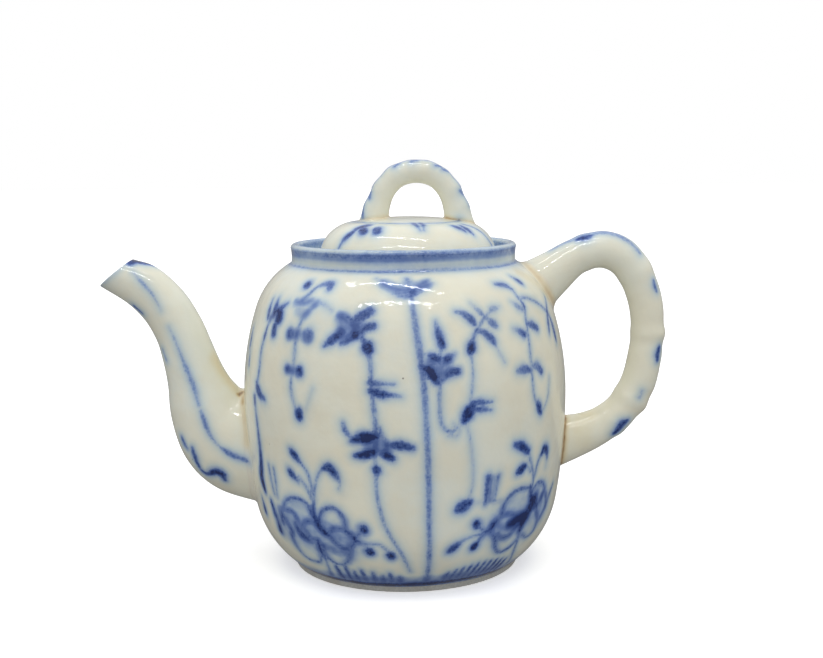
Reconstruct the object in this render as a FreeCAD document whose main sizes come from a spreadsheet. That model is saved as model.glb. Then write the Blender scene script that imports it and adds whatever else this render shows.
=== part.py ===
"""Small porcelain teapot: a luted pot with spout and handle, and a lid that lifts out.

Frame: millimetres, +Z up, origin on the table under the pot's axis.
The spout points along -X and the handle along +X.
"""
import FreeCAD, Part
import math
import os

import Sketcher
from FreeCAD import Placement, Rotation, Vector

SIZES = {
    # pot body: corner, side and shoulder arcs that run into each other
    "belly_radius": 50.5,
    "belly_height": 54.5,
    "lower_side_arc": 200.0,
    "upper_side_arc": 88.0,
    "corner_arc": 31.0,
    "corner_centre_radius": 17.2,
    "shoulder_arc": 24.0,
    "shoulder_centre_radius": 23.3,
    "base_height": 1.8,
    "floor_height": 5.4,
    "neck_height": 95.2,
    "wall": 3.0,
    # foot, neck and lid seat
    "foot_outer_radius": 35.4,
    "foot_inner_radius": 30.6,
    "foot_chamfer": 0.4,
    "neck_radius": 35.1,
    "mouth_radius": 32.4,
    "rim_height": 101.3,
    "rim_round": 1.2,
    "seat_inner_radius": 28.4,
    "seat_depth": 1.8,
    # strainer holes through the wall behind the spout
    "strainer_height": 37.0,
    "strainer_ring_radius": 7.0,
    "strainer_hole_radius": 2.1,
    "spout_wall": 2.6,
    # slip that fills the roots of the spout, the handle and the lid's loop
    "seam_root": 1.6,
    "seam_edge": 0.5,
    "seam_tuck": 1.2,
    # lid
    "lid_shift": 1.4,
    "lid_top": 109.2,
    "crown_arc": 110.0,
    "lid_shoulder_arc": 12.0,
    "lid_shoulder_centre_radius": 15.8,
    "flange_radius": 30.6,
    "flange_thickness": 1.6,
    "lid_wall": 2.6,
    "lid_ring_outer_radius": 26.4,
    "lid_ring_inner_radius": 24.0,
    "lid_ring_depth": 6.5,
    "vent_radius": 1.2,
    "vent_offset": 17.0,
    "loop_shift": 2.5,
}

# Stations along a centre line in the XZ plane, from root to end: x, z, the tilt of
# the tangent from +Z towards +X in degrees, the half width in the plane and across it.
SPOUT = [
    (-42.0, 36.0, -80.0, 18.2, 13.6),
    (-53.5, 38.6, -67.0, 16.8, 12.6),
    (-60.2, 43.3, -49.0, 14.3, 11.4),
    (-64.1, 51.6, -28.0, 11.4, 10.1),
    (-66.2, 59.5, -16.5, 9.1, 8.9),
    (-68.6, 67.8, -16.0, 8.1, 8.0),
    (-71.0, 74.6, -23.0, 7.7, 7.6),
    (-75.4, 82.1, -38.0, 7.5, 7.4),
    (-82.0, 88.5, -51.0, 7.2, 7.0),
    (-89.9, 92.6, -38.5, 6.6, 6.4),
]
HANDLE = [
    (38.0, 85.0, 50.0, 9.2, 8.6),
    (47.2, 91.6, 54.0, 6.8, 6.5),
    (54.0, 96.3, 66.0, 5.7, 5.5),
    (61.4, 98.4, 94.0, 5.8, 5.3),
    (68.0, 96.3, 121.0, 5.8, 5.3),
    (72.7, 90.4, 150.0, 5.5, 5.2),
    (75.7, 82.0, 169.0, 5.3, 5.1),
    (76.5, 73.0, 181.0, 5.2, 5.1),
    (75.6, 64.0, 191.0, 5.3, 5.1),
    (73.1, 54.6, 206.0, 5.5, 5.2),
    (67.3, 46.2, 225.0, 5.5, 5.3),
    (58.6, 40.8, 243.0, 6.2, 5.7),
    (46.0, 37.0, 256.0, 8.4, 7.6),
]
LOOP_HALF = [
    (-13.6, 105.5, 14.0, 4.9, 4.2),
    (-12.1, 112.6, 17.0, 3.9, 3.6),
    (-9.7, 118.0, 34.0, 3.6, 3.4),
    (-5.6, 121.9, 62.0, 3.6, 3.4),
]
LOOP_TOP = (0.0, 123.2, 90.0, 3.6, 3.4)
LOOP = LOOP_HALF + [LOOP_TOP] + [
    (-x, z, 180.0 - tilt, high, wide) for x, z, tilt, high, wide in reversed(LOOP_HALF)]
FIELDS = ("x", "z", "tilt", "high", "wide")

STRAINER_HOLES = 6
CLEAR = 1.0     # how far a cutting shape runs past the face that it opens

ORIGIN = (-1, 1)    # a sketch's own origin, as geometry and point
AXIS = -2           # a sketch's vertical axis
START, END, CENTRE = 1, 2, 3
ACROSS = Vector(0, 1, 0)


# ---------------------------------------------------------------- sheet and sketches

def add_sheet(doc):
    """Put the driving dimensions in a spreadsheet, one named cell each."""
    sheet = doc.addObject("Spreadsheet::Sheet", "sizes")
    cells = dict(SIZES)
    for part, stations in (("spout", SPOUT), ("handle", HANDLE), ("loop", LOOP)):
        for number, station in enumerate(stations):
            for field, value in zip(FIELDS, station):
                cells["%s_%s_%d" % (part, field, number)] = value
    for row, (name, value) in enumerate(cells.items(), start=1):
        sheet.set("A%d" % row, name)
        sheet.set("B%d" % row, "%g" % value)
        sheet.setAlias("B%d" % row, name)
    doc.recompute()


def add_body(doc, label):
    body = doc.addObject("PartDesign::Body", label)
    body.Label = label
    return body


def add_sketch(body, name, role):
    """A sketch on one of the body's own origin planes."""
    sketch = body.newObject("Sketcher::SketchObject", name)
    plane = [item for item in body.Origin.OriginFeatures if item.Role == role][0]
    sketch.AttachmentSupport = [(plane, "")]
    sketch.MapMode = "FlatFace"
    return sketch


def bind(sketch, kind, where, expression):
    """Add a dimension to a sketch and tie it to the sheet."""
    value = float(sketch.evalExpression(expression))
    index = sketch.addConstraint(Sketcher.Constraint(kind, *where, value))
    sketch.setExpression("Constraints[%d]" % index, expression)


def place(sketch, point, x=None, z=None):
    """Tie a point of a sketch to a radius and a height; x of 0 puts it on the axis."""
    if x == "0":
        sketch.addConstraint(Sketcher.Constraint("PointOnObject", *point, AXIS))
    elif x:
        bind(sketch, "DistanceX", ORIGIN + point, x)
    if z:
        bind(sketch, "DistanceY", ORIGIN + point, z)


def evaluate(sketch, expression):
    return 0.0 if expression == "0" else float(sketch.evalExpression(expression))


def add_arc(sketch, centre, radius, start, end):
    """An arc about a first guess of its centre, with its radius tied to the sheet."""
    circle = Part.Circle(centre, Vector(0, 0, 1), evaluate(sketch, radius))
    arc = sketch.addGeometry(Part.ArcOfCircle(circle, start, end))
    bind(sketch, "Radius", (arc,), radius)
    return arc


def add_chain(sketch, corners, first=None, last=None):
    """Straight lines through the corners, from the end of one arc to the start of another,
    or round a closed polygon when there are no arcs."""
    points = [Vector(evaluate(sketch, x), evaluate(sketch, z), 0) for x, z in corners]
    if first is None:
        ends = points[1:] + points[:1]
        lines = [sketch.addGeometry(Part.LineSegment(a, b)) for a, b in zip(points, ends)]
        joints = [((lines[i - 1], END), (line, START)) for i, line in enumerate(lines)]
    else:
        path = [sketch.getPoint(*first)] + points + [sketch.getPoint(*last)]
        lines = [sketch.addGeometry(Part.LineSegment(a, b)) for a, b in zip(path, path[1:])]
        joints = [((a, END), (b, START)) for a, b in zip(lines, lines[1:])]
        joints += [(first, (lines[0], START)), ((lines[-1], END), last)]
    for one, other in joints:
        sketch.addConstraint(Sketcher.Constraint("Coincident", *one, *other))
    placed = lines if first is None else lines[1:]
    for line, (x, z) in zip(placed, corners):
        place(sketch, (line, START), x, z)


def turn(body, sketch, kind="Revolution"):
    """Turn a profile a whole turn about the body's axis."""
    feature = body.newObject("PartDesign::" + kind, kind.lower() + "_" + sketch.Name)
    feature.Profile = sketch
    feature.ReferenceAxis = (sketch, ["V_Axis"])
    feature.Angle = 360.0
    sketch.Visibility = False
    body.Tip = feature
    body.Document.recompute()
    return feature


def turned_ring(doc, label, corners):
    """A body of revolution whose section is a polygon."""
    body = add_body(doc, label)
    sketch = add_sketch(body, label + "_section", "XZ_Plane")
    add_chain(sketch, corners)
    turn(body, sketch)
    return body


def tangent_centre(sketch, big_centre, big_radius, small_radius, x, above):
    """The centre at radius x of an arc that runs into a bigger arc from inside."""
    gap = evaluate(sketch, big_radius) - evaluate(sketch, small_radius)
    rise = math.sqrt(gap ** 2 - (x - big_centre.x) ** 2)
    return Vector(x, big_centre.y + (rise if above else -rise), 0)


def heading(start, end):
    return math.atan2(end.y - start.y, end.x - start.x)


# ---------------------------------------------------------------- pot

def draw_belly(sketch, inset, base, top_kind, top, corners):
    """The side of the pot as corner, lower side, upper side and shoulder arcs, inset
    from the outside. The outline closes through the corners, from the top down."""
    radius = {part: "sizes.%s - %s" % (part, inset)
              for part in ("corner_arc", "lower_side_arc", "upper_side_arc", "shoulder_arc")}
    widest = evaluate(sketch, "sizes.belly_radius")
    height = evaluate(sketch, "sizes.belly_height")
    low = Vector(widest - evaluate(sketch, "sizes.lower_side_arc"), height, 0)
    high = Vector(widest - evaluate(sketch, "sizes.upper_side_arc"), height, 0)
    corner = tangent_centre(sketch, low, radius["lower_side_arc"], radius["corner_arc"],
                            evaluate(sketch, "sizes.corner_centre_radius"), False)
    shoulder = tangent_centre(sketch, high, radius["upper_side_arc"], radius["shoulder_arc"],
                              evaluate(sketch, "sizes.shoulder_centre_radius"), True)
    low_turn = heading(low, corner)
    high_turn = heading(high, shoulder)
    first = math.asin((evaluate(sketch, base) - corner.y) / evaluate(sketch, radius["corner_arc"]))
    reach = evaluate(sketch, radius["shoulder_arc"])
    if top_kind == "DistanceY":
        last = math.asin((evaluate(sketch, top) - shoulder.y) / reach)
    else:
        last = math.acos((evaluate(sketch, top) - shoulder.x) / reach)
    arcs = [add_arc(sketch, corner, radius["corner_arc"], first, low_turn),
            add_arc(sketch, low, radius["lower_side_arc"], low_turn, 0.0),
            add_arc(sketch, high, radius["upper_side_arc"], 0.0, high_turn),
            add_arc(sketch, shoulder, radius["shoulder_arc"], high_turn, last)]
    for one, other in zip(arcs, arcs[1:]):
        sketch.addConstraint(Sketcher.Constraint("Tangent", one, END, other, START))
    place(sketch, (arcs[1], END), "sizes.belly_radius - " + inset)
    place(sketch, (arcs[1], CENTRE), z="sizes.belly_height")
    place(sketch, (arcs[2], CENTRE), z="sizes.belly_height")
    place(sketch, (arcs[0], CENTRE), "sizes.corner_centre_radius")
    place(sketch, (arcs[3], CENTRE), "sizes.shoulder_centre_radius")
    place(sketch, (arcs[0], START), z=base)
    bind(sketch, top_kind, ORIGIN + (arcs[3], END), top)
    add_chain(sketch, corners, (arcs[3], END), (arcs[0], START))


def make_pot_body(doc):
    """The cast belly: a shell with a flat floor, an open mouth and the strainer holes."""
    body = add_body(doc, "pot_body")
    outside = add_sketch(body, "pot_outside", "XZ_Plane")
    draw_belly(outside, "0", "sizes.base_height", "DistanceY", "sizes.neck_height",
               [("0", "sizes.neck_height"), ("0", "sizes.base_height")])
    turn(body, outside)
    inside = add_sketch(body, "pot_inside", "XZ_Plane")
    above = "sizes.neck_height + %g" % CLEAR
    draw_belly(inside, "sizes.wall", "sizes.floor_height", "DistanceX", "sizes.mouth_radius",
               [("sizes.mouth_radius", above), ("0", above), ("0", "sizes.floor_height")])
    turn(body, inside, "Groove")
    pierce_strainer(body)
    return body


def pierce_strainer(body):
    """One hole in the middle and a ring of holes round it, cut along -X only."""
    sketch = add_sketch(body, "strainer_holes", "YZ_Plane")
    middle = "sizes.strainer_height"
    ring = "sizes.strainer_ring_radius"
    spots = [(0.0, 0.0)]
    for number in range(STRAINER_HOLES):
        angle = 2 * math.pi * number / STRAINER_HOLES
        spots.append((math.cos(angle), math.sin(angle)))
    for across, up in spots:
        centre = Vector(across * evaluate(sketch, ring),
                        evaluate(sketch, middle) + up * evaluate(sketch, ring), 0)
        hole = sketch.addGeometry(Part.Circle(centre, Vector(0, 0, 1),
                                              evaluate(sketch, "sizes.strainer_hole_radius")))
        bind(sketch, "Radius", (hole,), "sizes.strainer_hole_radius")
        sideways = "0" if abs(across) < 1e-9 else "%s * %.6f" % (ring, across)
        place(sketch, (hole, CENTRE), sideways, "%s + %s * %.6f" % (middle, ring, up))
    before = body.Shape.Volume
    pocket = body.newObject("PartDesign::Pocket", "strainer")
    pocket.Profile = sketch
    pocket.setExpression("Length", "sizes.belly_radius + %g" % CLEAR)
    pocket.UseCustomVector = True
    pocket.Direction = Vector(-1, 0, 0)
    sketch.Visibility = False
    body.Tip = pocket
    body.Document.recompute()
    check_removed("strainer", before, body.Shape.Volume,
                  (STRAINER_HOLES + 1) * math.pi * SIZES["strainer_hole_radius"] ** 2
                  * SIZES["wall"])


def check_removed(name, before, after, expected):
    """Stop when a cut took away much less or much more than it should."""
    removed = before - after
    if not 0.8 * expected < removed < 1.6 * expected:
        raise RuntimeError("%s removed %.1f mm3, expected %.1f" % (name, removed, expected))


def make_foot_ring(doc):
    return turned_ring(doc, "foot_ring", [
        ("sizes.foot_inner_radius + sizes.foot_chamfer", "0"),
        ("sizes.foot_outer_radius - sizes.foot_chamfer", "0"),
        ("sizes.foot_outer_radius", "sizes.foot_chamfer"),
        ("sizes.foot_outer_radius", "sizes.base_height"),
        ("sizes.foot_inner_radius", "sizes.base_height"),
        ("sizes.foot_inner_radius", "sizes.foot_chamfer")])


def make_neck_collar(doc):
    """The upright neck, with its lip rounded inside and outside."""
    body = turned_ring(doc, "neck_collar", [
        ("sizes.mouth_radius", "sizes.neck_height"),
        ("sizes.neck_radius", "sizes.neck_height"),
        ("sizes.neck_radius", "sizes.rim_height"),
        ("sizes.mouth_radius", "sizes.rim_height")])
    ring = body.Tip
    lip = [edge_name for edge_name, height in named_circles(ring.Shape)
           if abs(height - SIZES["rim_height"]) < 1e-6]
    fillet = body.newObject("PartDesign::Fillet", "lip_round")
    fillet.Base = (ring, lip)
    fillet.setExpression("Radius", "sizes.rim_round")
    body.Tip = fillet
    return body


def named_circles(shape):
    """The name and height of each circular edge that lies flat."""
    found = []
    for number, edge in enumerate(shape.Edges, start=1):
        box = edge.BoundBox
        if box.ZLength < 1e-6 and box.XLength > 1.0:
            found.append(("Edge%d" % number, box.ZMin))
    return found


def make_lid_seat(doc):
    """The ledge inside the neck that the lid's flange rests on."""
    return turned_ring(doc, "lid_seat_ring", [
        ("sizes.seat_inner_radius", "sizes.neck_height - sizes.seat_depth"),
        ("sizes.mouth_radius", "sizes.neck_height - sizes.seat_depth"),
        ("sizes.mouth_radius", "sizes.neck_height"),
        ("sizes.seat_inner_radius", "sizes.neck_height")])


def make_pot_envelope(doc):
    """The pot and its neck filled in: what is luted on is cut to this outside."""
    body = add_body(doc, "pot_envelope")
    sketch = add_sketch(body, "envelope_outline", "XZ_Plane")
    draw_belly(sketch, "0", "sizes.base_height", "DistanceY", "sizes.neck_height",
               [("sizes.neck_radius", "sizes.neck_height"),
                ("sizes.neck_radius", "sizes.rim_height"),
                ("0", "sizes.rim_height"), ("0", "sizes.base_height")])
    turn(body, sketch)
    return body


# ---------------------------------------------------------------- lofted pieces

def add_station(body, part, number, growth):
    """An oval section across the centre line, grown evenly from its cells' size."""
    sketch = add_sketch(body, "%s_section_%d" % (body.Label, number), "XY_Plane")
    cells = {field: "sizes.%s_%s_%d" % (part, field, number) for field in FIELDS}
    high = "%s + %s" % (cells["high"], growth)
    wide = "%s + %s" % (cells["wide"], growth)
    sketch.AttachmentOffset = Placement(
        Vector(evaluate(sketch, cells["x"]), 0, evaluate(sketch, cells["z"])),
        Rotation(ACROSS, evaluate(sketch, cells["tilt"])))
    sketch.setExpression(".AttachmentOffset.Base.x", cells["x"])
    sketch.setExpression(".AttachmentOffset.Base.z", cells["z"])
    sketch.setExpression(".AttachmentOffset.Rotation.Angle", cells["tilt"])
    oval = sketch.addGeometry(Part.Ellipse(Vector(evaluate(sketch, high), 0, 0),
                                           Vector(0, evaluate(sketch, wide), 0),
                                           Vector(0, 0, 0)))
    sketch.exposeInternalGeometry(oval)
    long_axis, short_axis = oval + 1, oval + 2
    sketch.addConstraint(Sketcher.Constraint("Coincident", oval, CENTRE, *ORIGIN))
    sketch.addConstraint(Sketcher.Constraint("Horizontal", long_axis))
    bind(sketch, "Distance", (long_axis,), "2 * (%s)" % high)
    bind(sketch, "Distance", (short_axis,), "2 * (%s)" % wide)
    sketch.Visibility = False
    return sketch


def make_loft(doc, label, part, growths):
    """A solid through the stations that growths names, each grown by its own amount."""
    body = add_body(doc, label)
    sections = [add_station(body, part, number, growth) for number, growth in growths.items()]
    doc.recompute()
    loft = body.newObject("PartDesign::AdditiveLoft", label + "_loft")
    loft.Profile = (sections[0], [""])
    loft.Sections = [(section, [""]) for section in sections[1:]]
    body.Tip = loft
    return body


def make_slip(doc, label, part, root, step):
    """A loft that stands proud of a piece at its root and dives into it further along."""
    growths = ("sizes.seam_root", "sizes.seam_edge", "(-sizes.seam_tuck)", "(-sizes.seam_tuck)")
    return make_loft(doc, label, part,
                     {root + step * n: growth for n, growth in enumerate(growths)})


def cut(doc, label, base, *tools):
    """The base with each tool taken away in turn; the last result bears the label."""
    for number, tool in enumerate(tools, start=1):
        last = number == len(tools)
        result = doc.addObject("Part::Cut", label if last else "%s_cut_%d" % (label, number))
        result.Base = base
        result.Tool = tool
        base = result
    result.Label = label
    return result


def make_spout(doc, envelope):
    every = range(len(SPOUT))
    outside = make_loft(doc, "spout_outside", "spout", {n: "0" for n in every})
    bore = make_loft(doc, "spout_bore", "spout", {n: "(-sizes.spout_wall)" for n in every})
    seam = make_slip(doc, "spout_slip", "spout", 0, 1)
    return [cut(doc, "spout", outside, bore, envelope),
            cut(doc, "spout_seam", seam, envelope, outside)]


def make_handle(doc, envelope):
    bar = make_loft(doc, "handle_bar", "handle", {n: "0" for n in range(len(HANDLE))})
    upper = make_slip(doc, "handle_upper_slip", "handle", 0, 1)
    lower = make_slip(doc, "handle_lower_slip", "handle", len(HANDLE) - 1, -1)
    return [cut(doc, "handle", bar, envelope),
            cut(doc, "handle_upper_seam", upper, envelope, bar),
            cut(doc, "handle_lower_seam", lower, envelope, bar)]


# ---------------------------------------------------------------- lid

def draw_crown(sketch, inset, start_height, corners):
    """Half the dome as a shoulder arc and a crown arc that ends on the axis."""
    shoulder_radius = "sizes.lid_shoulder_arc - " + inset
    crown_radius = "sizes.crown_arc - " + inset
    crown = Vector(0, evaluate(sketch, "sizes.lid_top - sizes.crown_arc"), 0)
    shoulder = tangent_centre(sketch, crown, crown_radius, shoulder_radius,
                              evaluate(sketch, "sizes.lid_shoulder_centre_radius"), True)
    drop = evaluate(sketch, start_height) - shoulder.y
    start = math.asin(drop / evaluate(sketch, shoulder_radius))
    middle = heading(crown, shoulder)
    side = add_arc(sketch, shoulder, shoulder_radius, start, middle)
    top = add_arc(sketch, crown, crown_radius, middle, math.pi / 2)
    sketch.addConstraint(Sketcher.Constraint("Tangent", side, END, top, START))
    place(sketch, (side, CENTRE), "sizes.lid_shoulder_centre_radius")
    place(sketch, (side, START), z=start_height)
    place(sketch, (top, CENTRE), "0")
    place(sketch, (top, END), "0", "sizes.lid_top - " + inset)
    add_chain(sketch, corners, (top, END), (side, START))


def draw_lid_outside(sketch):
    top = "sizes.neck_height + sizes.flange_thickness"
    draw_crown(sketch, "0", top, [("0", "sizes.neck_height"),
                                  ("sizes.flange_radius", "sizes.neck_height"),
                                  ("sizes.flange_radius", top)])


def on_lid_axis(body):
    body.setExpression(".Placement.Base.x", "sizes.lid_shift")
    return body


def make_lid_envelope(doc):
    """The lid filled in: the loop is cut to this outside."""
    body = add_body(doc, "lid_envelope")
    sketch = add_sketch(body, "lid_envelope_outline", "XZ_Plane")
    draw_lid_outside(sketch)
    turn(body, sketch)
    return on_lid_axis(body)


def make_lid_dome(doc):
    """The domed lid with its resting flange, hollow below, with a steam vent at the back."""
    body = add_body(doc, "lid_dome")
    outside = add_sketch(body, "lid_outside", "XZ_Plane")
    draw_lid_outside(outside)
    turn(body, outside)
    inside = add_sketch(body, "lid_inside", "XZ_Plane")
    below = "sizes.neck_height - %g" % CLEAR
    draw_crown(inside, "sizes.lid_wall", below, [("0", below)])
    turn(body, inside, "Groove")
    vent = add_sketch(body, "vent_hole", "XY_Plane")
    hole = vent.addGeometry(Part.Circle(Vector(0, SIZES["vent_offset"], 0), Vector(0, 0, 1),
                                        SIZES["vent_radius"]))
    bind(vent, "Radius", (hole,), "sizes.vent_radius")
    place(vent, (hole, CENTRE), "0", "sizes.vent_offset")
    before = body.Shape.Volume
    pocket = body.newObject("PartDesign::Pocket", "vent")
    pocket.Profile = vent
    pocket.setExpression("Length", "sizes.lid_top + %g" % CLEAR)
    pocket.UseCustomVector = True
    pocket.Direction = Vector(0, 0, 1)
    vent.Visibility = False
    body.Tip = pocket
    doc.recompute()
    check_removed("vent", before, body.Shape.Volume,
                  math.pi * SIZES["vent_radius"] ** 2 * SIZES["lid_wall"])
    return on_lid_axis(body)


def make_lid_ring(doc):
    """The ring under the lid that drops through the seat and keeps the lid in place."""
    bottom = "sizes.neck_height - sizes.lid_ring_depth"
    return on_lid_axis(turned_ring(doc, "lid_locating_ring", [
        ("sizes.lid_ring_inner_radius", bottom),
        ("sizes.lid_ring_outer_radius", bottom),
        ("sizes.lid_ring_outer_radius", "sizes.neck_height"),
        ("sizes.lid_ring_inner_radius", "sizes.neck_height")]))


def on_loop_axis(body):
    body.setExpression(".Placement.Base.x", "sizes.lid_shift + sizes.loop_shift")
    return body


def make_lid_loop(doc, envelope):
    last = len(LOOP) - 1
    bar = on_loop_axis(make_loft(doc, "loop_bar", "loop", {n: "0" for n in range(len(LOOP))}))
    near_spout = on_loop_axis(make_slip(doc, "loop_spout_side_slip", "loop", 0, 1))
    near_handle = on_loop_axis(make_slip(doc, "loop_handle_side_slip", "loop", last, -1))
    return [cut(doc, "lid_loop", bar, envelope),
            cut(doc, "loop_spout_side_seam", near_spout, envelope, bar),
            cut(doc, "loop_handle_side_seam", near_handle, envelope, bar)]


# ---------------------------------------------------------------- whole teapot

def check_document(doc):
    """Stop when any object of the document failed."""
    for item in doc.Objects:
        if "Invalid" in item.State or "Error" in item.State:
            raise RuntimeError("%s: %s" % (item.Label, item.State))


def write_piece(piece):
    shape = piece.Shape
    if shape.isNull() or not shape.isValid() or not shape.Solids:
        raise RuntimeError(piece.Label + " is not a valid solid")
    shape.exportStep("parts/%s.step" % piece.Label)
    box = shape.BoundBox
    print("%-22s solids %d  volume %8.1f  x %6.1f %6.1f  y %6.1f %6.1f  z %6.1f %6.1f" % (
        piece.Label, len(shape.Solids), shape.Volume,
        box.XMin, box.XMax, box.YMin, box.YMax, box.ZMin, box.ZMax))


def main():
    os.makedirs("parts", exist_ok=True)
    doc = FreeCAD.newDocument("teapot")
    add_sheet(doc)
    pot_envelope = make_pot_envelope(doc)
    lid_envelope = make_lid_envelope(doc)
    pieces = [make_pot_body(doc), make_foot_ring(doc), make_neck_collar(doc), make_lid_seat(doc)]
    pieces += make_spout(doc, pot_envelope)
    pieces += make_handle(doc, pot_envelope)
    pieces += [make_lid_dome(doc), make_lid_ring(doc)]
    pieces += make_lid_loop(doc, lid_envelope)
    doc.recompute()
    check_document(doc)
    for piece in pieces:
        write_piece(piece)


main()
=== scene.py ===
"""Looks of the small porcelain teapot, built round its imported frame.

Lengths are millimetres unless a name says otherwise, and meshes are written in metres.
The spout points along -X, the handle along +X, and the front faces -Y.
Each visible piece is a closed mesh made here; the painting is laid on it as brush strokes,
and every vertex keeps how far it is from them for the materials to read.
"""
import math

import bpy
import numpy as np
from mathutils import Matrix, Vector


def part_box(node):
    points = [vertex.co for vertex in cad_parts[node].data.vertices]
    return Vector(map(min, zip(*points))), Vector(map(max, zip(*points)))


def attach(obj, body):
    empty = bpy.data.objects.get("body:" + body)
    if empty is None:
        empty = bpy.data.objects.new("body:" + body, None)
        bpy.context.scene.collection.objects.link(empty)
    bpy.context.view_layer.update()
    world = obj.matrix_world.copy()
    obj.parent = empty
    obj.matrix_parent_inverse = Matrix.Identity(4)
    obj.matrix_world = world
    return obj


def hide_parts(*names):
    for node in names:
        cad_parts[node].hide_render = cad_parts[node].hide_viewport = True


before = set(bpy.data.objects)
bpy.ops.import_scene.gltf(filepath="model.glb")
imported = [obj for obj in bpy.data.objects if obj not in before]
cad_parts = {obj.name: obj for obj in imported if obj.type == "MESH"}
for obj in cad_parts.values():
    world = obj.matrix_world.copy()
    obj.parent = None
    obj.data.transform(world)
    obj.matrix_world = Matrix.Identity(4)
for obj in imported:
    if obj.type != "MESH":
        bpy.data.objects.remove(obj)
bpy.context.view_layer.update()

MM = 0.001
TURN = 2 * math.pi
UP = math.pi / 2


def span(node):
    """Lowest and highest corners of a CAD node, in millimetres."""
    low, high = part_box(node)
    return np.array(low) / MM, np.array(high) / MM


POT_LOW, POT_HIGH = span("pot_body")
FOOT_HIGH = span("foot_ring")[1]
COLLAR_HIGH = span("neck_collar")[1]
SEAT_LOW, SEAT_HIGH = span("lid_seat_ring")
DOME_LOW, DOME_HIGH = span("lid_dome")
RING_LOW, RING_HIGH = span("lid_locating_ring")
LOOP_LOW, LOOP_HIGH = span("lid_loop")

BELLY = POT_HIGH[0]
BELLY_HEIGHT = 54.5
LOW_SIDE = 200.0            # radii of the arcs that make the belly's outline
HIGH_SIDE = 88.0
CORNER = 31.0
CORNER_OUT = 17.2           # how far from the axis the small arcs' centres are
SHOULDER = 24.0
SHOULDER_OUT = 23.3
BASE = POT_LOW[2]
NECK = POT_HIGH[2]
RIM = COLLAR_HIGH[2]
NECK_RADIUS = COLLAR_HIGH[0]
FOOT_RADIUS = FOOT_HIGH[0]
FOOT_INSIDE = 30.6
WALL = 3.0
FLOOR = BASE + 3.6
MOUTH = SEAT_HIGH[0]
SEAT_INSIDE = 28.4
STRAINER_HEIGHT = 37.0
STRAINER_RING = 7.0
STRAINER_HOLE = 2.1
LID_X = (DOME_LOW[0] + DOME_HIGH[0]) / 2
LID_TOP = DOME_HIGH[2]
CROWN = 110.0
LID_SHOULDER = 12.0
LID_SHOULDER_OUT = 15.8
FLANGE = (DOME_HIGH[0] - DOME_LOW[0]) / 2
FLANGE_THICK = 1.6
LID_WALL = 2.6
LID_RING_INSIDE = 24.0
VENT_RADIUS = 1.2
VENT_OFFSET = 17.0
LOOP_X = (LOOP_LOW[0] + LOOP_HIGH[0]) / 2

# Stations of the oval bars: x, z, tilt of the centre line from +Z towards +X in degrees,
# half width in the plane of the spout and handle, and half width across it.
SPOUT = [
    (-42.0, 36.0, -80.0, 18.2, 13.6),
    (-53.5, 38.6, -67.0, 16.8, 12.6),
    (-60.2, 43.3, -49.0, 14.3, 11.4),
    (-64.1, 51.6, -28.0, 11.4, 10.1),
    (-66.2, 59.5, -16.5, 9.1, 8.9),
    (-68.6, 67.8, -16.0, 8.1, 8.0),
    (-71.0, 74.6, -23.0, 7.7, 7.6),
    (-75.4, 82.1, -38.0, 7.5, 7.4),
    (-82.0, 88.5, -51.0, 7.2, 7.0),
    (-89.9, 92.6, -38.5, 6.6, 6.4),
]
HANDLE = [
    (38.0, 85.0, 50.0, 9.2, 8.6),
    (47.2, 91.6, 54.0, 6.8, 6.5),
    (54.0, 96.3, 66.0, 5.7, 5.5),
    (61.4, 98.4, 94.0, 5.8, 5.3),
    (68.0, 96.3, 121.0, 5.8, 5.3),
    (72.7, 90.4, 150.0, 5.5, 5.2),
    (75.7, 82.0, 169.0, 5.3, 5.1),
    (76.5, 73.0, 181.0, 5.2, 5.1),
    (75.6, 64.0, 191.0, 5.3, 5.1),
    (73.1, 54.6, 206.0, 5.5, 5.2),
    (67.3, 46.2, 225.0, 5.5, 5.3),
    (58.6, 40.8, 243.0, 6.2, 5.7),
    (46.0, 37.0, 256.0, 8.4, 7.6),
]
LOOP_HALF = [
    (-13.6, 105.5, 14.0, 4.9, 4.2),
    (-12.1, 112.6, 17.0, 3.9, 3.6),
    (-9.7, 118.0, 34.0, 3.6, 3.4),
    (-5.6, 121.9, 62.0, 3.6, 3.4),
]
LOOP_TOP = (0.0, 123.2, 90.0, 3.6, 3.4)
LOOP = LOOP_HALF + [LOOP_TOP] + [
    (-x, z, 180.0 - tilt, high, wide) for x, z, tilt, high, wide in reversed(LOOP_HALF)]

ARC_SCALE = 50.0    # round the pot, places are given as arc length at this radius
REACH = 4.0         # how far outside a stroke its ink attribute still says something
THINNEST = 0.42     # least half width of a stroke
SKIN = 1.2          # paint goes no deeper than this under the outer surface


# ---------------------------------------------------------------- turned shapes

ARC_SLACK = 0.01    # radians that neighbouring arcs may overlap when a height is looked up


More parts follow.
